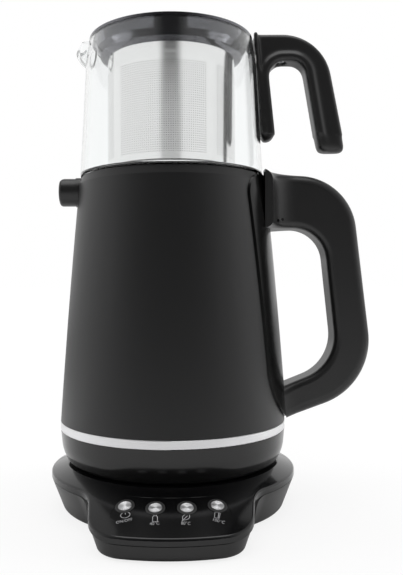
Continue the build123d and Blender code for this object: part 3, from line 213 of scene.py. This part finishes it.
# %% [markdown]
# ## Floor
# A pale tabletop, large enough to fill the view. It carries a soft shadow near the tea
# maker, and farther out the camera sees only its own white, which runs into the room.
# What the collar inside the glass mirrors of it ends soon in front: there the tabletop is
# dark, which draws the black middle of the collar between its two grey sides.

# %% Floor
floor_size = 60.0
bpy.ops.object.select_all(action="DESELECT")
bpy.ops.mesh.primitive_plane_add(size=floor_size, location=(0.0, 0.0, 0.0))
floor = bpy.context.object
floor.name = "floor"
print("stage:", floor.name)

# %% Floor paint
shadow_span, own_white_share = (0.15, 0.9), (0.80, 1.0)
dark_side_span = (0.40, 0.46)
dark_back_span = (-0.20, -0.15)
floor_dark, floor_pale = 0.06, 0.92
own_white = 1.02

floor_paint = bpy.data.materials.new("floor_white")
floor_paint.use_nodes = True
tree = floor_paint.node_tree
tree.nodes.clear()
path = node(tree, "ShaderNodeLightPath").outputs
floor_place = node(tree, "ShaderNodeTexCoord").outputs["Object"]
floor_distance = node(tree, "ShaderNodeVectorMath", operation="LENGTH")
tree.links.new(floor_place, floor_distance.inputs[0])
floor_axes = node(tree, "ShaderNodeSeparateXYZ")
tree.links.new(floor_place, floor_axes.inputs["Vector"])

floor_fade = remap(tree, floor_distance.outputs["Value"], shadow_span, own_white_share, smooth=True)
floor_share = calculate(tree, "MULTIPLY", floor_fade, path["Is Camera Ray"])

floor_sideways = calculate(tree, "ABSOLUTE", floor_axes.outputs["X"])
beside_dark = remap(tree, floor_sideways, dark_side_span)
behind_dark = remap(tree, floor_axes.outputs["Y"], dark_back_span)
pale_place = calculate(tree, "MAXIMUM", beside_dark, behind_dark)
mirrored = calculate(tree, "GREATER_THAN", path["Glossy Depth"], mirrored_once)
in_glass = calculate(tree, "MULTIPLY", mirrored, path["Is Transmission Ray"])
elsewhere = calculate(tree, "SUBTRACT", 1.0, in_glass)
pale_floor = calculate(tree, "MAXIMUM", pale_place, elsewhere)

floor_matt = node(tree, "ShaderNodeBsdfDiffuse")
floor_colour = remap(tree, pale_floor, onto=(floor_dark, floor_pale))
tree.links.new(floor_colour, floor_matt.inputs["Color"])
floor_glow = node(tree, "ShaderNodeEmission", Color=(1.0, 1.0, 1.0, 1.0), Strength=own_white)
floor_mix = node(tree, "ShaderNodeMixShader")
tree.links.new(floor_share, floor_mix.inputs["Fac"])
tree.links.new(floor_matt.outputs["BSDF"], floor_mix.inputs[1])
tree.links.new(floor_glow.outputs["Emission"], floor_mix.inputs[2])
floor_out = node(tree, "ShaderNodeOutputMaterial")
tree.links.new(floor_mix.outputs["Shader"], floor_out.inputs["Surface"])
floor.data.materials.append(floor_paint)
print("floor nodes:", len(tree.nodes))


# %% [markdown]
# ## Finishes
# Every finish starts from one Principled shader. Fine noise breaks up its roughness and
# raises a little relief, because no moulded or brushed surface is perfectly even. The
# numbers that are the same all over are set on the shader itself, and only what varies
# over the surface is linked. All patterns read Object coordinates, in metres.

# %% Shared finish
stroke_grain = 900  # lumps per metre, before they are drawn out


def new_finish(name, colour, roughness, metallic=0.0):
    """A material with one Principled shader; returns the material, its tree and the shader."""
    material = bpy.data.materials.new(name)
    material.use_nodes = True
    tree = material.node_tree
    shader = tree.nodes["Principled BSDF"]
    shader.inputs["Base Color"].default_value = (*colour, 1.0)
    shader.inputs["Roughness"].default_value = roughness
    shader.inputs["Metallic"].default_value = metallic
    return material, tree, shader


def object_noise(tree, scale, detail=3.0, stretch=(1.0, 1.0, 1.0)):
    """Noise over the piece, scale in lumps per metre, stretched along the axes."""
    place = node(tree, "ShaderNodeTexCoord")
    mapping = node(tree, "ShaderNodeMapping")
    mapping.inputs["Scale"].default_value = stretch
    tree.links.new(place.outputs["Object"], mapping.inputs["Vector"])
    noise = node(tree, "ShaderNodeTexNoise", Scale=scale, Detail=detail)
    tree.links.new(mapping.outputs["Vector"], noise.inputs["Vector"])
    return noise.outputs["Fac"]


def relief(tree, source, shader, depth):
    """Raise a pattern as a bump of the given depth in metres."""
    bump = node(tree, "ShaderNodeBump", Strength=1.0, Distance=depth)
    tree.links.new(source, bump.inputs["Height"])
    tree.links.new(bump.outputs["Normal"], shader.inputs["Normal"])


def moulded(name, colour, roughness, uneven, grain, depth, mirror=0.5):
    """Moulded plastic or paint: even colour, fine grain in roughness and relief.

    The roughness varies by uneven to both sides; grain is in lumps per metre, depth in
    metres, and mirror is the shader's level of reflection.
    """
    material, tree, shader = new_finish(name, colour, roughness)
    shader.inputs["Specular IOR Level"].default_value = mirror
    noise = object_noise(tree, grain)
    varied = remap(tree, noise, onto=(roughness - uneven, roughness + uneven))
    tree.links.new(varied, shader.inputs["Roughness"])
    relief(tree, noise, shader, depth)
    return material


def brushed(name, colour, smoothest, roughest, strokes, depth):
    """Brushed metal: noise drawn out along the strokes, between two roughnesses."""
    material, tree, shader = new_finish(name, colour, (smoothest + roughest) / 2, metallic=1.0)
    noise = object_noise(tree, stroke_grain, stretch=strokes)
    varied = remap(tree, noise, onto=(smoothest, roughest))
    tree.links.new(varied, shader.inputs["Roughness"])
    relief(tree, noise, shader, depth)
    return material


# %% Plastics, paint and rubber
gloss_black = moulded("gloss_black", (0.003, 0.003, 0.0033), 0.12, uneven=0.02, grain=140, depth=2e-6)
skirt_gloss = moulded("skirt_gloss", (0.007, 0.0069, 0.0069), 0.20, uneven=0.02, grain=1200, depth=2e-6)
foot_black = moulded("foot_black", (0.002, 0.002, 0.002), 0.6, uneven=0.05, grain=1800, depth=6e-6)
shield_black = moulded("shield_black", (0.002, 0.002, 0.002), 0.22, uneven=0.03, grain=300, depth=2e-6,
                       mirror=0.2)
satin_black = moulded("satin_black", (0.009, 0.0088, 0.0088), 0.34, uneven=0.04, grain=2500, depth=8e-6)
shell_lacquer = moulded("shell_lacquer", (0.008, 0.008, 0.0083), 0.40, uneven=0.03, grain=3500, depth=6e-6)
handle_satin = moulded("handle_satin", (0.013, 0.0128, 0.013), 0.34, uneven=0.03, grain=2200, depth=4e-6)
rubber_black = moulded("rubber_black", (0.02, 0.02, 0.02), 0.75, uneven=0.08, grain=1500, depth=2e-5)
silicone_grey = moulded("silicone_grey", (0.55, 0.55, 0.54), 0.6, uneven=0.05, grain=900, depth=8e-6)
board_green = moulded("board_green", (0.015, 0.09, 0.04), 0.4, uneven=0.1, grain=600, depth=1e-5)
ring_black = moulded("ring_black", (0.03, 0.03, 0.03), 0.30, uneven=0.03, grain=800, depth=2e-6)
clear_adhesive = moulded("clear_adhesive", (0.7, 0.7, 0.7), 0.2, uneven=0.05, grain=400, depth=4e-6)
print("finishes:", len(bpy.data.materials))

# %% [markdown]
# ### Metals
# The steel and the trim are brushed round the axis, so their noise is drawn out sideways.
# The infuser's collar is made as a dark and very smooth metal: it mirrors the room at
# every angle, where black plastic would do so only at a glancing one.

# %% Metals
round_strokes = (0.05, 0.05, 1.0)
upright_strokes = (1.0, 1.0, 0.1)
no_strokes = (1.0, 1.0, 1.0)
satin_silver = brushed("satin_silver", (0.74, 0.74, 0.75), 0.26, 0.36, round_strokes, depth=1e-6)
smoked_gloss = brushed("smoked_gloss", (0.17, 0.17, 0.185), 0.05, 0.09, no_strokes, depth=1e-7)
brushed_steel = brushed("brushed_steel", (0.55, 0.54, 0.53), 0.24, 0.40, round_strokes, depth=2e-6)
polished_steel = brushed("polished_steel", (0.88, 0.875, 0.87), 0.10, 0.20, round_strokes, depth=1e-6)
# Near-black steel: painted shade for the inside of the basket and the walls of its holes.
painted_shade_steel = brushed("painted_shade_steel", (0.04, 0.04, 0.038), 0.35, 0.50, round_strokes, depth=1e-6)
contact_brass = brushed("contact_brass", (0.60, 0.42, 0.16), 0.20, 0.32, upright_strokes, depth=1e-6)
zinc_plate = brushed("zinc_plate", (0.48, 0.49, 0.50), 0.28, 0.42, no_strokes, depth=2e-6)
print("finishes:", len(bpy.data.materials))

# %% Metal faced on a lathe
cap_roughness, cap_uneven, cap_grain = 0.42, 0.06, 1500
cap_silver, tree, shader = new_finish("cap_silver", (0.95, 0.95, 0.96), cap_roughness, metallic=1.0)
shader.inputs["Anisotropic"].default_value = 0.85
shader.inputs["Anisotropic Rotation"].default_value = 0.25
tool_marks = node(tree, "ShaderNodeTangent", direction_type="RADIAL", axis="Z")
tree.links.new(tool_marks.outputs["Tangent"], shader.inputs["Tangent"])
cap_span = (cap_roughness - cap_uneven, cap_roughness + cap_uneven)
tree.links.new(remap(tree, object_noise(tree, cap_grain), onto=cap_span), shader.inputs["Roughness"])
print("cap finish:", cap_silver.name)

# %% [markdown]
# ### Glass
# The teapot is borosilicate glass, clear with a hardly visible grey. The shader is fully
# transmissive and its slight unevenness is a long, faint wave, as blown glass has.

# %% Glass
glass_index = 1.47
wave_grain, wave_depth = 18, 3e-5
upright_waves = (1.0, 1.0, 0.4)
teapot_glass, tree, shader = new_finish("teapot_glass", (0.965, 0.975, 0.975), 0.0)
shader.inputs["Transmission Weight"].default_value = 1.0
shader.inputs["IOR"].default_value = glass_index
relief(tree, object_noise(tree, wave_grain, detail=1.0, stretch=upright_waves), shader, wave_depth)
print("glass index", glass_index)


# %% [markdown]
# ## Dressing the solids
# The solids that already have the right shape keep it and only get their finish: every
# material slot of a solid is given the one material that the real piece is made of.

# %% Dress the solids
def dress(material, *names):
    """Give CAD nodes a material in all their slots."""
    for name in names:
        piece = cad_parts[name]
        if not piece.data.materials:
            piece.data.materials.append(material)
        for index in range(len(piece.data.materials)):
            piece.data.materials[index] = material


def is_dressed(piece):
    """True where a piece has a finish made of nodes."""
    return any(material and material.use_nodes for material in piece.data.materials)


dress(gloss_black, "base_cover", "lid_cover", "lid_knob")
dress(smoked_gloss, "infuser_funnel")
dress(foot_black, "kettle_foot")
dress(skirt_gloss, "kettle_skirt")
dress(handle_satin, "teapot_handle", "kettle_handle", "kettle_spout")
dress(shield_black, "handle_panel")
dress(satin_black, "base_housing", "handle_spine", "mouth_ring", "base_connector",
      "connector_collar", "kettle_coupler", "button_switches")
dress(shell_lacquer, "kettle_shell")
dress(satin_silver, "trim_ring", "button_on_off", "button_40", "button_80", "button_100")
dress(brushed_steel, "kettle_liner", "kettle_liner_neck", "heater_plate", "heating_element",
      "temperature_sensor", "handle_bracket")
dress(polished_steel, "infuser_basket", "infuser_base")
dress(teapot_glass, "glass_pot")
dress(ring_black, "button_bezels")
dress(rubber_black, "base_feet", "cord_gland")
dress(silicone_grey, "mouth_seal", "spout_seal")
dress(board_green, "control_board", "power_board")
dress(contact_brass, "connector_contacts", "coupler_contacts")
dress(zinc_plate, "base_screws", "board_screws", "foot_screws", "handle_screws",
      "teapot_handle_screw", "lid_screw")
dress(clear_adhesive, "bond_pad")
print("undressed:", [name for name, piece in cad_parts.items() if not is_dressed(piece)])


# %% [markdown]
# ## Modelling by hand, in code
# New pieces are made with the same operators that a person would click: a start shape
# is added at its place, shaped in edit mode and finished with applied modifiers. Small
# helpers keep that tidy: they make one object the only selected one, bake its place into
# its mesh so that it moves with its body, apply its modifiers, give a sheet its thickness
# and select what passes a test.

# %% Helpers for modelling
def only(piece):
    """Make one object the selected and active one."""
    if bpy.context.object and bpy.context.object.mode != "OBJECT":
        bpy.ops.object.mode_set(mode="OBJECT")
    bpy.ops.object.select_all(action="DESELECT")
    piece.select_set(True)
    bpy.context.view_layer.objects.active = piece


def settle(piece, name, material, body):
    """Bake the place into the mesh, name the piece, finish it and hang it on its body."""
    only(piece)
    bpy.ops.object.transform_apply(location=True, rotation=True, scale=True)
    piece.name = piece.data.name = name
    piece.data.materials.clear()
    piece.data.materials.append(material)
    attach(piece, body)


def apply_modifiers(piece):
    """Apply every modifier of a piece, from first to last."""
    only(piece)
    for modifier in list(piece.modifiers):
        bpy.ops.object.modifier_apply(modifier=modifier.name)


def thicken(piece, thickness, offset):
    """Give a sheet its thickness: inwards at -1, to both sides at 0, outwards at 1."""
    wall = piece.modifiers.new("wall", "SOLIDIFY")
    wall.thickness = thickness
    wall.offset = offset


def pick(piece, test, kind="FACE"):
    """In edit mode, select exactly the faces, edges or points that pass a test."""
    bpy.ops.mesh.select_mode(type=kind)
    bpy.ops.mesh.select_all(action="DESELECT")
    work = bmesh.from_edit_mesh(piece.data)
    elements = {"FACE": work.faces, "EDGE": work.edges, "VERT": work.verts}[kind]
    count = 0
    for element in elements:
        if test(element):
            element.select_set(True)
            count += 1
    bmesh.update_edit_mesh(piece.data)
    return count


# %% [markdown]
# ## The infuser basket
# The real basket is a sheet of polished steel with thousands of punched holes in four
# fields, rolled up with plain strips between them and a plain band on top. One field is
# made flat, as the sheet is: a fine grid whose inner corners are bevelled into round
# holes and cut out. It is then given its thickness, bent round the axis, and copied.

# %% One punched field
basket_radius = 46.1 * MM
basket_wall = 0.5 * MM
basket_low, basket_high = 241.5 * MM, 330.0 * MM
basket_turn = radians(-8.0)
field_turn = radians(81.0)
field_count = 4
field_low, field_high = 245.0 * MM, 308.6 * MM
hole_pitch = 1.51 * MM
hole_size = 0.48 * MM
face_limit = 0.45 * hole_pitch ** 2  # holes have less area, faces of the sheet have more
field_width = basket_radius * field_turn
field_height = field_high - field_low
columns = round(field_width / hole_pitch)
rows = round(field_height / hole_pitch)


def punched_sheet():
    """Flat sheet in the XZ plane with a round hole at every inner corner of its grid."""
    bpy.ops.object.select_all(action="DESELECT")
    bpy.ops.mesh.primitive_grid_add(x_subdivisions=columns, y_subdivisions=rows, size=1.0)
    sheet = bpy.context.object
    sheet.scale = (field_width, field_height, 1.0)
    sheet.rotation_euler = (radians(90), 0.0, 0.0)
    bpy.ops.object.transform_apply(location=True, rotation=True, scale=True)
    bpy.ops.object.mode_set(mode="EDIT")
    inside_x, inside_z = (field_width - hole_pitch) / 2, (field_height - hole_pitch) / 2
    holes = pick(sheet, lambda v: abs(v.co.x) < inside_x and abs(v.co.z) < inside_z, "VERT")
    bpy.ops.mesh.bevel(affect="VERTICES", offset=hole_size, segments=2, profile=0.5)
    pick(sheet, lambda f: f.calc_area() < face_limit)
    bpy.ops.mesh.delete(type="FACE")
    bpy.ops.object.mode_set(mode="OBJECT")
    print("holes in one field:", holes)
    return sheet


field = punched_sheet()
thicken(field, basket_wall, offset=0.0)
roll = field.modifiers.new("roll", "SIMPLE_DEFORM")
roll.deform_method = "BEND"
roll.deform_axis = "Z"
roll.angle = field_turn
apply_modifiers(field)
field.location = (0.0, -basket_radius, (field_low + field_high) / 2)
bpy.ops.object.transform_apply(location=True, rotation=True, scale=True)


# %% Four fields round the axis
def paint_inner_shade(piece):
    """Give the faces that look at the axis, and the edges of holes, a near-black steel: painted shade
    inside the basket and in its holes.
    """
    piece.data.materials.append(painted_shade_steel)
    for face in piece.data.polygons:
        if hypot(face.center.x, face.center.y) < basket_radius + basket_wall / 4:
            face.material_index = 1


for step in range(field_count):
    only(field)
    bpy.ops.object.duplicate(linked=False)
    copy = bpy.context.object
    copy.rotation_euler = (0.0, 0.0, basket_turn + step * 2 * pi / field_count)
    settle(copy, f"basket_field_{step + 1}", polished_steel, "infuser")
    paint_inner_shade(copy)
    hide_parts("infuser_basket")
bpy.data.objects.remove(field, do_unlink=True)
print("fields:", field_count)


# %% The plain band, strips and hem of the basket
def in_a_field(face):
    """True where a punched field takes the place of the plain tube."""
    centre = face.calc_center_median()
    share = 2 * pi / field_count
    turn = (atan2(centre.x, -centre.y) - basket_turn + share / 2) % share - share / 2
    return field_low < centre.z < field_high and abs(turn) < field_turn / 2


tube_sides = 80
bpy.ops.object.select_all(action="DESELECT")
bpy.ops.mesh.primitive_cylinder_add(vertices=tube_sides, radius=basket_radius,
                                    depth=basket_high - basket_low, end_fill_type="NOTHING",
                                    rotation=(0.0, 0.0, basket_turn),
                                    location=(0.0, 0.0, (basket_low + basket_high) / 2))
tube = bpy.context.object
bpy.ops.object.transform_apply(location=True, rotation=True, scale=True)
bpy.ops.object.mode_set(mode="EDIT")
for height in (field_low, field_high):
    bpy.ops.mesh.select_all(action="SELECT")
    bpy.ops.mesh.bisect(plane_co=(0.0, 0.0, height), plane_no=(0.0, 0.0, 1.0))
print("plain faces cut:", pick(tube, in_a_field))
bpy.ops.mesh.delete(type="FACE")
bpy.ops.mesh.select_all(action="SELECT")
bpy.ops.mesh.normals_make_consistent(inside=False)
bpy.ops.object.mode_set(mode="OBJECT")
thicken(tube, basket_wall, offset=0.0)
apply_modifiers(tube)
bpy.ops.object.shade_smooth_by_angle(angle=radians(30))
settle(tube, "basket_band", polished_steel, "infuser")
paint_inner_shade(tube)
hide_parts("infuser_basket")

# %% [markdown]
# ## The teapot's handle
# The real handle is a thick moulding with no sharp edge anywhere. Its solid has the right
# outline but crisp corners. A merged copy of it is rebuilt as an even skin of small faces,
# and smoothing that skin rounds every edge alike, the way a worn bar of soap is round.
# The two tips are rounder still, so their points are smoothed a second time.

# %% Soft handle
weld_gap = 0.01 * MM
handle_voxel = 0.8 * MM
rounding_pull = 0.5
handle_rounds = 30
tip_height = 266.0 * MM
tip_rounds = 90

handle_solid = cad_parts["teapot_handle"]
handle = bpy.data.objects.new("handle", handle_solid.data.copy())
bpy.context.scene.collection.objects.link(handle)
only(handle)
bpy.ops.object.mode_set(mode="EDIT")
bpy.ops.mesh.select_all(action="SELECT")
bpy.ops.mesh.remove_doubles(threshold=weld_gap)
bpy.ops.mesh.normals_make_consistent(inside=False)
bpy.ops.object.mode_set(mode="OBJECT")
skin = handle.modifiers.new("skin", "REMESH")
skin.mode = "VOXEL"
skin.voxel_size = handle_voxel
rounding = handle.modifiers.new("rounding", "SMOOTH")
rounding.factor = rounding_pull
rounding.iterations = handle_rounds
apply_modifiers(handle)
bpy.ops.object.mode_set(mode="EDIT")
print("points in the two tips:", pick(handle, lambda v: v.co.z < tip_height, "VERT"))
bpy.ops.mesh.vertices_smooth(factor=rounding_pull, repeat=tip_rounds)
bpy.ops.object.mode_set(mode="OBJECT")
bpy.ops.object.shade_smooth()
settle(handle, "teapot_handle_soft", handle_satin, "teapot")
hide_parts("teapot_handle")
print("handle faces:", len(handle.data.polygons))

# %% [markdown]
# ## The control panel
# The panel slopes like a cone round the tea maker's axis. A place on it is given by a
# button, a step sideways from it and a step towards the front edge. Signs are drawn flat,
# turned to lie on the slope there and given a hair of thickness, as printed ink has.
# The lists below give the sizes and steps of the signs in millimetres, and how far each
# sign is twisted on the panel in degrees.

# %% A place on the panel
cover_slope = radians(22.0)
plateau_height, plateau_radius = 31.0 * MM, 76.3 * MM
panel_recess = 0.25 * MM
button_circle = 94.0 * MM
button_pitch = radians(11.5)
button_angles = [button_pitch * step for step in (-1.5, -0.5, 0.5, 1.5)]


def panel_place(angle, sideways, forward, lift, twist=0.0):
    """Matrix whose X runs along the panel, Y uphill and Z out of it."""
    x = button_circle * sin(angle) + sideways
    y = -button_circle * cos(angle) - forward
    turn = atan2(x, -y)
    out = Vector((sin(cover_slope) * sin(turn), -sin(cover_slope) * cos(turn), cos(cover_slope)))
    uphill = out.cross(Vector((1.0, 0.0, 0.0))).normalized()
    height = plateau_height - (hypot(x, y) - plateau_radius) * tan(cover_slope) - panel_recess
    axes = Matrix((uphill.cross(out), uphill, out)).transposed().to_4x4()
    return Matrix.Translation(Vector((x, y, height)) + out * lift) @ axes @ Matrix.Rotation(twist, 4, "Z")


print("buttons at", [round(degrees(angle), 2) for angle in button_angles], "degrees")

# %% Print
ink_thickness = 0.06 * MM
ink_width = 0.36 * MM
letter_slimming = -0.012  # of the text size, off every edge
ink_white = moulded("ink_white", (0.55, 0.55, 0.56), 0.5, uneven=0.05, grain=2000, depth=1e-6)


def lay_sign(piece, name, place):
    """Turn a flat sign into a mesh, lay it on the panel and hang it on the base."""
    only(piece)
    bpy.ops.object.convert(target="MESH")
    piece.matrix_world = place
    settle(piece, name, ink_white, "base")


def lettering(name, words, width, height, place):
    """Printed letters of a given overall width and height."""
    bpy.ops.object.select_all(action="DESELECT")
    bpy.ops.object.text_add()
    letters = bpy.context.object
    letters.data.body = words
    letters.data.align_x = "CENTER"
    letters.data.align_y = "CENTER"
    letters.data.resolution_u = 3
    letters.data.offset = letter_slimming
    only(letters)
    bpy.ops.object.convert(target="MESH")
    spans = [[v.co[axis] for v in letters.data.vertices] for axis in (0, 1)]
    sizes = [max(span) - min(span) for span in spans]
    middles = [(max(span) + min(span)) / 2 for span in spans]
    bpy.ops.object.mode_set(mode="EDIT")
    bpy.ops.mesh.select_all(action="SELECT")
    bpy.ops.transform.translate(value=(-middles[0], -middles[1], 0.0))
    bpy.ops.transform.resize(value=(width / sizes[0], height / sizes[1], 1.0), center_override=(0, 0, 0))
    bpy.ops.object.mode_set(mode="OBJECT")
    thicken(letters, ink_thickness, offset=1.0)
    apply_modifiers(letters)
    lay_sign(letters, name, place)


def strokes(name, lines, place):
    """A sign drawn in ink; each line is a list of points in millimetres, closed or not."""
    curve = bpy.data.curves.new(name, "CURVE")
    curve.dimensions = "3D"
    curve.bevel_depth = ink_width / 2
    curve.bevel_resolution = 1
    for points, closed in lines:
        spline = curve.splines.new("POLY")
        spline.points.add(len(points) - 1)
        for point, (x, y) in zip(spline.points, points):
            point.co = (x * MM, y * MM, 0.0, 1.0)
        spline.use_cyclic_u = closed
    curve.use_fill_caps = True
    drawn = bpy.data.objects.new(name, curve)
    bpy.context.scene.collection.objects.link(drawn)
    flatten = Matrix.Diagonal((1.0, 1.0, ink_thickness / ink_width, 1.0))
    lay_sign(drawn, name, place @ flatten)


print("ink:", ink_white.name)

# %% Words and numbers under the buttons
sign_words = ["ON/OFF", "40\u00b0C", "80\u00b0C", "100\u00b0C"]
word_sizes = [(9.6, 2.3), (5.4, 2.6), (5.4, 2.6), (6.9, 2.5)]
word_steps = [(0.6, 12.3), (0.0, 12.2), (-0.7, 12.3), (0.3, 12.6)]
word_twists = [11.0, 4.0, -2.0, -17.0]
word_lift = panel_recess + ink_thickness  # words reach past the sunk field, level with the cover
for index, (angle, words) in enumerate(zip(button_angles, sign_words)):
    width, height = (size * MM for size in word_sizes[index])
    sideways, forward = (step * MM for step in word_steps[index])
    place = panel_place(angle, sideways, forward, word_lift, radians(word_twists[index]))
    lettering(f"words_{index + 1}", words, width, height, place)
print("words:", sign_words)

# %% Pictures over the words
leaf_stalk = (-1.7, -2.6)
leaf_reach = (3.6, 5.6)
leaf_belly = (1.7, 1.0)


def arc(radius, start, end, steps, squash=1.0):
    """Points along an arc, angles in degrees from +X towards +Y."""
    turns = [radians(start + (end - start) * step / steps) for step in range(steps + 1)]
    return [(radius * cos(turn), radius * squash * sin(turn)) for turn in turns]


def leaf_side(side, steps=8):
    """Edge of a leaf that leans to the right, from its stalk to its tip; side is 1 or -1."""
    points = []
    for share in [step / steps for step in range(steps + 1)]:
        belly = side * sin(pi * share)
        points.append((leaf_stalk[0] + leaf_reach[0] * share + belly * leaf_belly[0],
                       leaf_stalk[1] + leaf_reach[1] * share - belly * leaf_belly[1]))
    return points


power_sign = [
    (arc(radius=2.8, start=125, end=415, steps=20, squash=0.9), False),
    ([(0.0, 0.4), (0.0, 3.2)], False),
]
bottle_sign = [
    ([(-1.4, -3.4), (1.4, -3.4), (1.4, 0.6), (0.7, 1.6), (-0.7, 1.6), (-1.4, 0.6)], True),
    ([(-0.8, 1.8), (0.0, 3.4), (0.8, 1.8)], False),
]
leaf_sign = [
    (leaf_side(1) + leaf_side(-1)[-2:0:-1], True),
    ([(-2.2, -3.4), leaf_stalk, (0.9, 1.4)], False),
]
cup_sign = [
    ([(-1.6, 2.4), (-1.4, -2.4), (1.4, -2.4), (1.6, 2.4)], True),
    ([(0.8, 2.4), (0.7, -2.4)], False),
]
pictures = {
    "power_sign": power_sign,
    "bottle_sign": bottle_sign,
    "leaf_sign": leaf_sign,
    "cup_sign": cup_sign,
}
picture_steps = [(0.8, 7.2), (0.1, 7.4), (-0.6, 7.4), (-0.5, 7.8)]
picture_twists = [6.0, 2.0, -2.0, -9.0]
for index, (name, lines) in enumerate(pictures.items()):
    sideways, forward = (step * MM for step in picture_steps[index])
    place = panel_place(button_angles[index], sideways, forward, 0.0, radians(picture_twists[index]))
    strokes(name, lines, place)
print("pictures:", list(pictures))

# %% [markdown]
# ### Button caps
# Each button has a silver cap that was faced on a lathe. Its fine rings throw the light
# into a fan, so they are modelled: a disc grows outwards ring by ring, up and down by a
# few hundredths of a millimetre.

# %% Turned caps
cap_radius = 3.75 * MM
cap_rings = 12
cap_sides = 48
ring_depth = 0.035 * MM
cap_thickness = 3 * ring_depth
cap_lift = 0.55 * MM


def turned_cap():
    """Thin disc with concentric ridges, standing on the origin."""
    bpy.ops.object.select_all(action="DESELECT")
    pitch = cap_radius / cap_rings
    bpy.ops.mesh.primitive_circle_add(vertices=cap_sides, radius=pitch, fill_type="NGON")
    disc = bpy.context.object
    bpy.ops.object.mode_set(mode="EDIT")
    for ring in range(2, cap_rings + 1):
        rim = pitch * (ring - 1)
        pick(disc, lambda e: all(hypot(v.co.x, v.co.y) > rim - pitch / 4 for v in e.verts), "EDGE")
        bpy.ops.mesh.extrude_edges_move()
        grow = ring / (ring - 1)
        bpy.ops.transform.resize(value=(grow, grow, 1.0), center_override=(0, 0, 0))
        bpy.ops.transform.translate(value=(0.0, 0.0, ring_depth * (-1) ** ring))
    bpy.ops.mesh.select_all(action="SELECT")
    bpy.ops.mesh.normals_make_consistent(inside=False)
    bpy.ops.object.mode_set(mode="OBJECT")
    thicken(disc, cap_thickness, offset=-1.0)
    apply_modifiers(disc)
    return disc


cap = turned_cap()
button_bodies = ["button_on_off", "button_40", "button_80", "button_100"]
for body, angle in zip(button_bodies, button_angles):
    only(cap)
    bpy.ops.object.duplicate(linked=False)
    copy = bpy.context.object
    copy.matrix_world = panel_place(angle, 0.0, 0.0, cap_lift)
    settle(copy, body + "_cap", cap_silver, body)
bpy.data.objects.remove(cap, do_unlink=True)
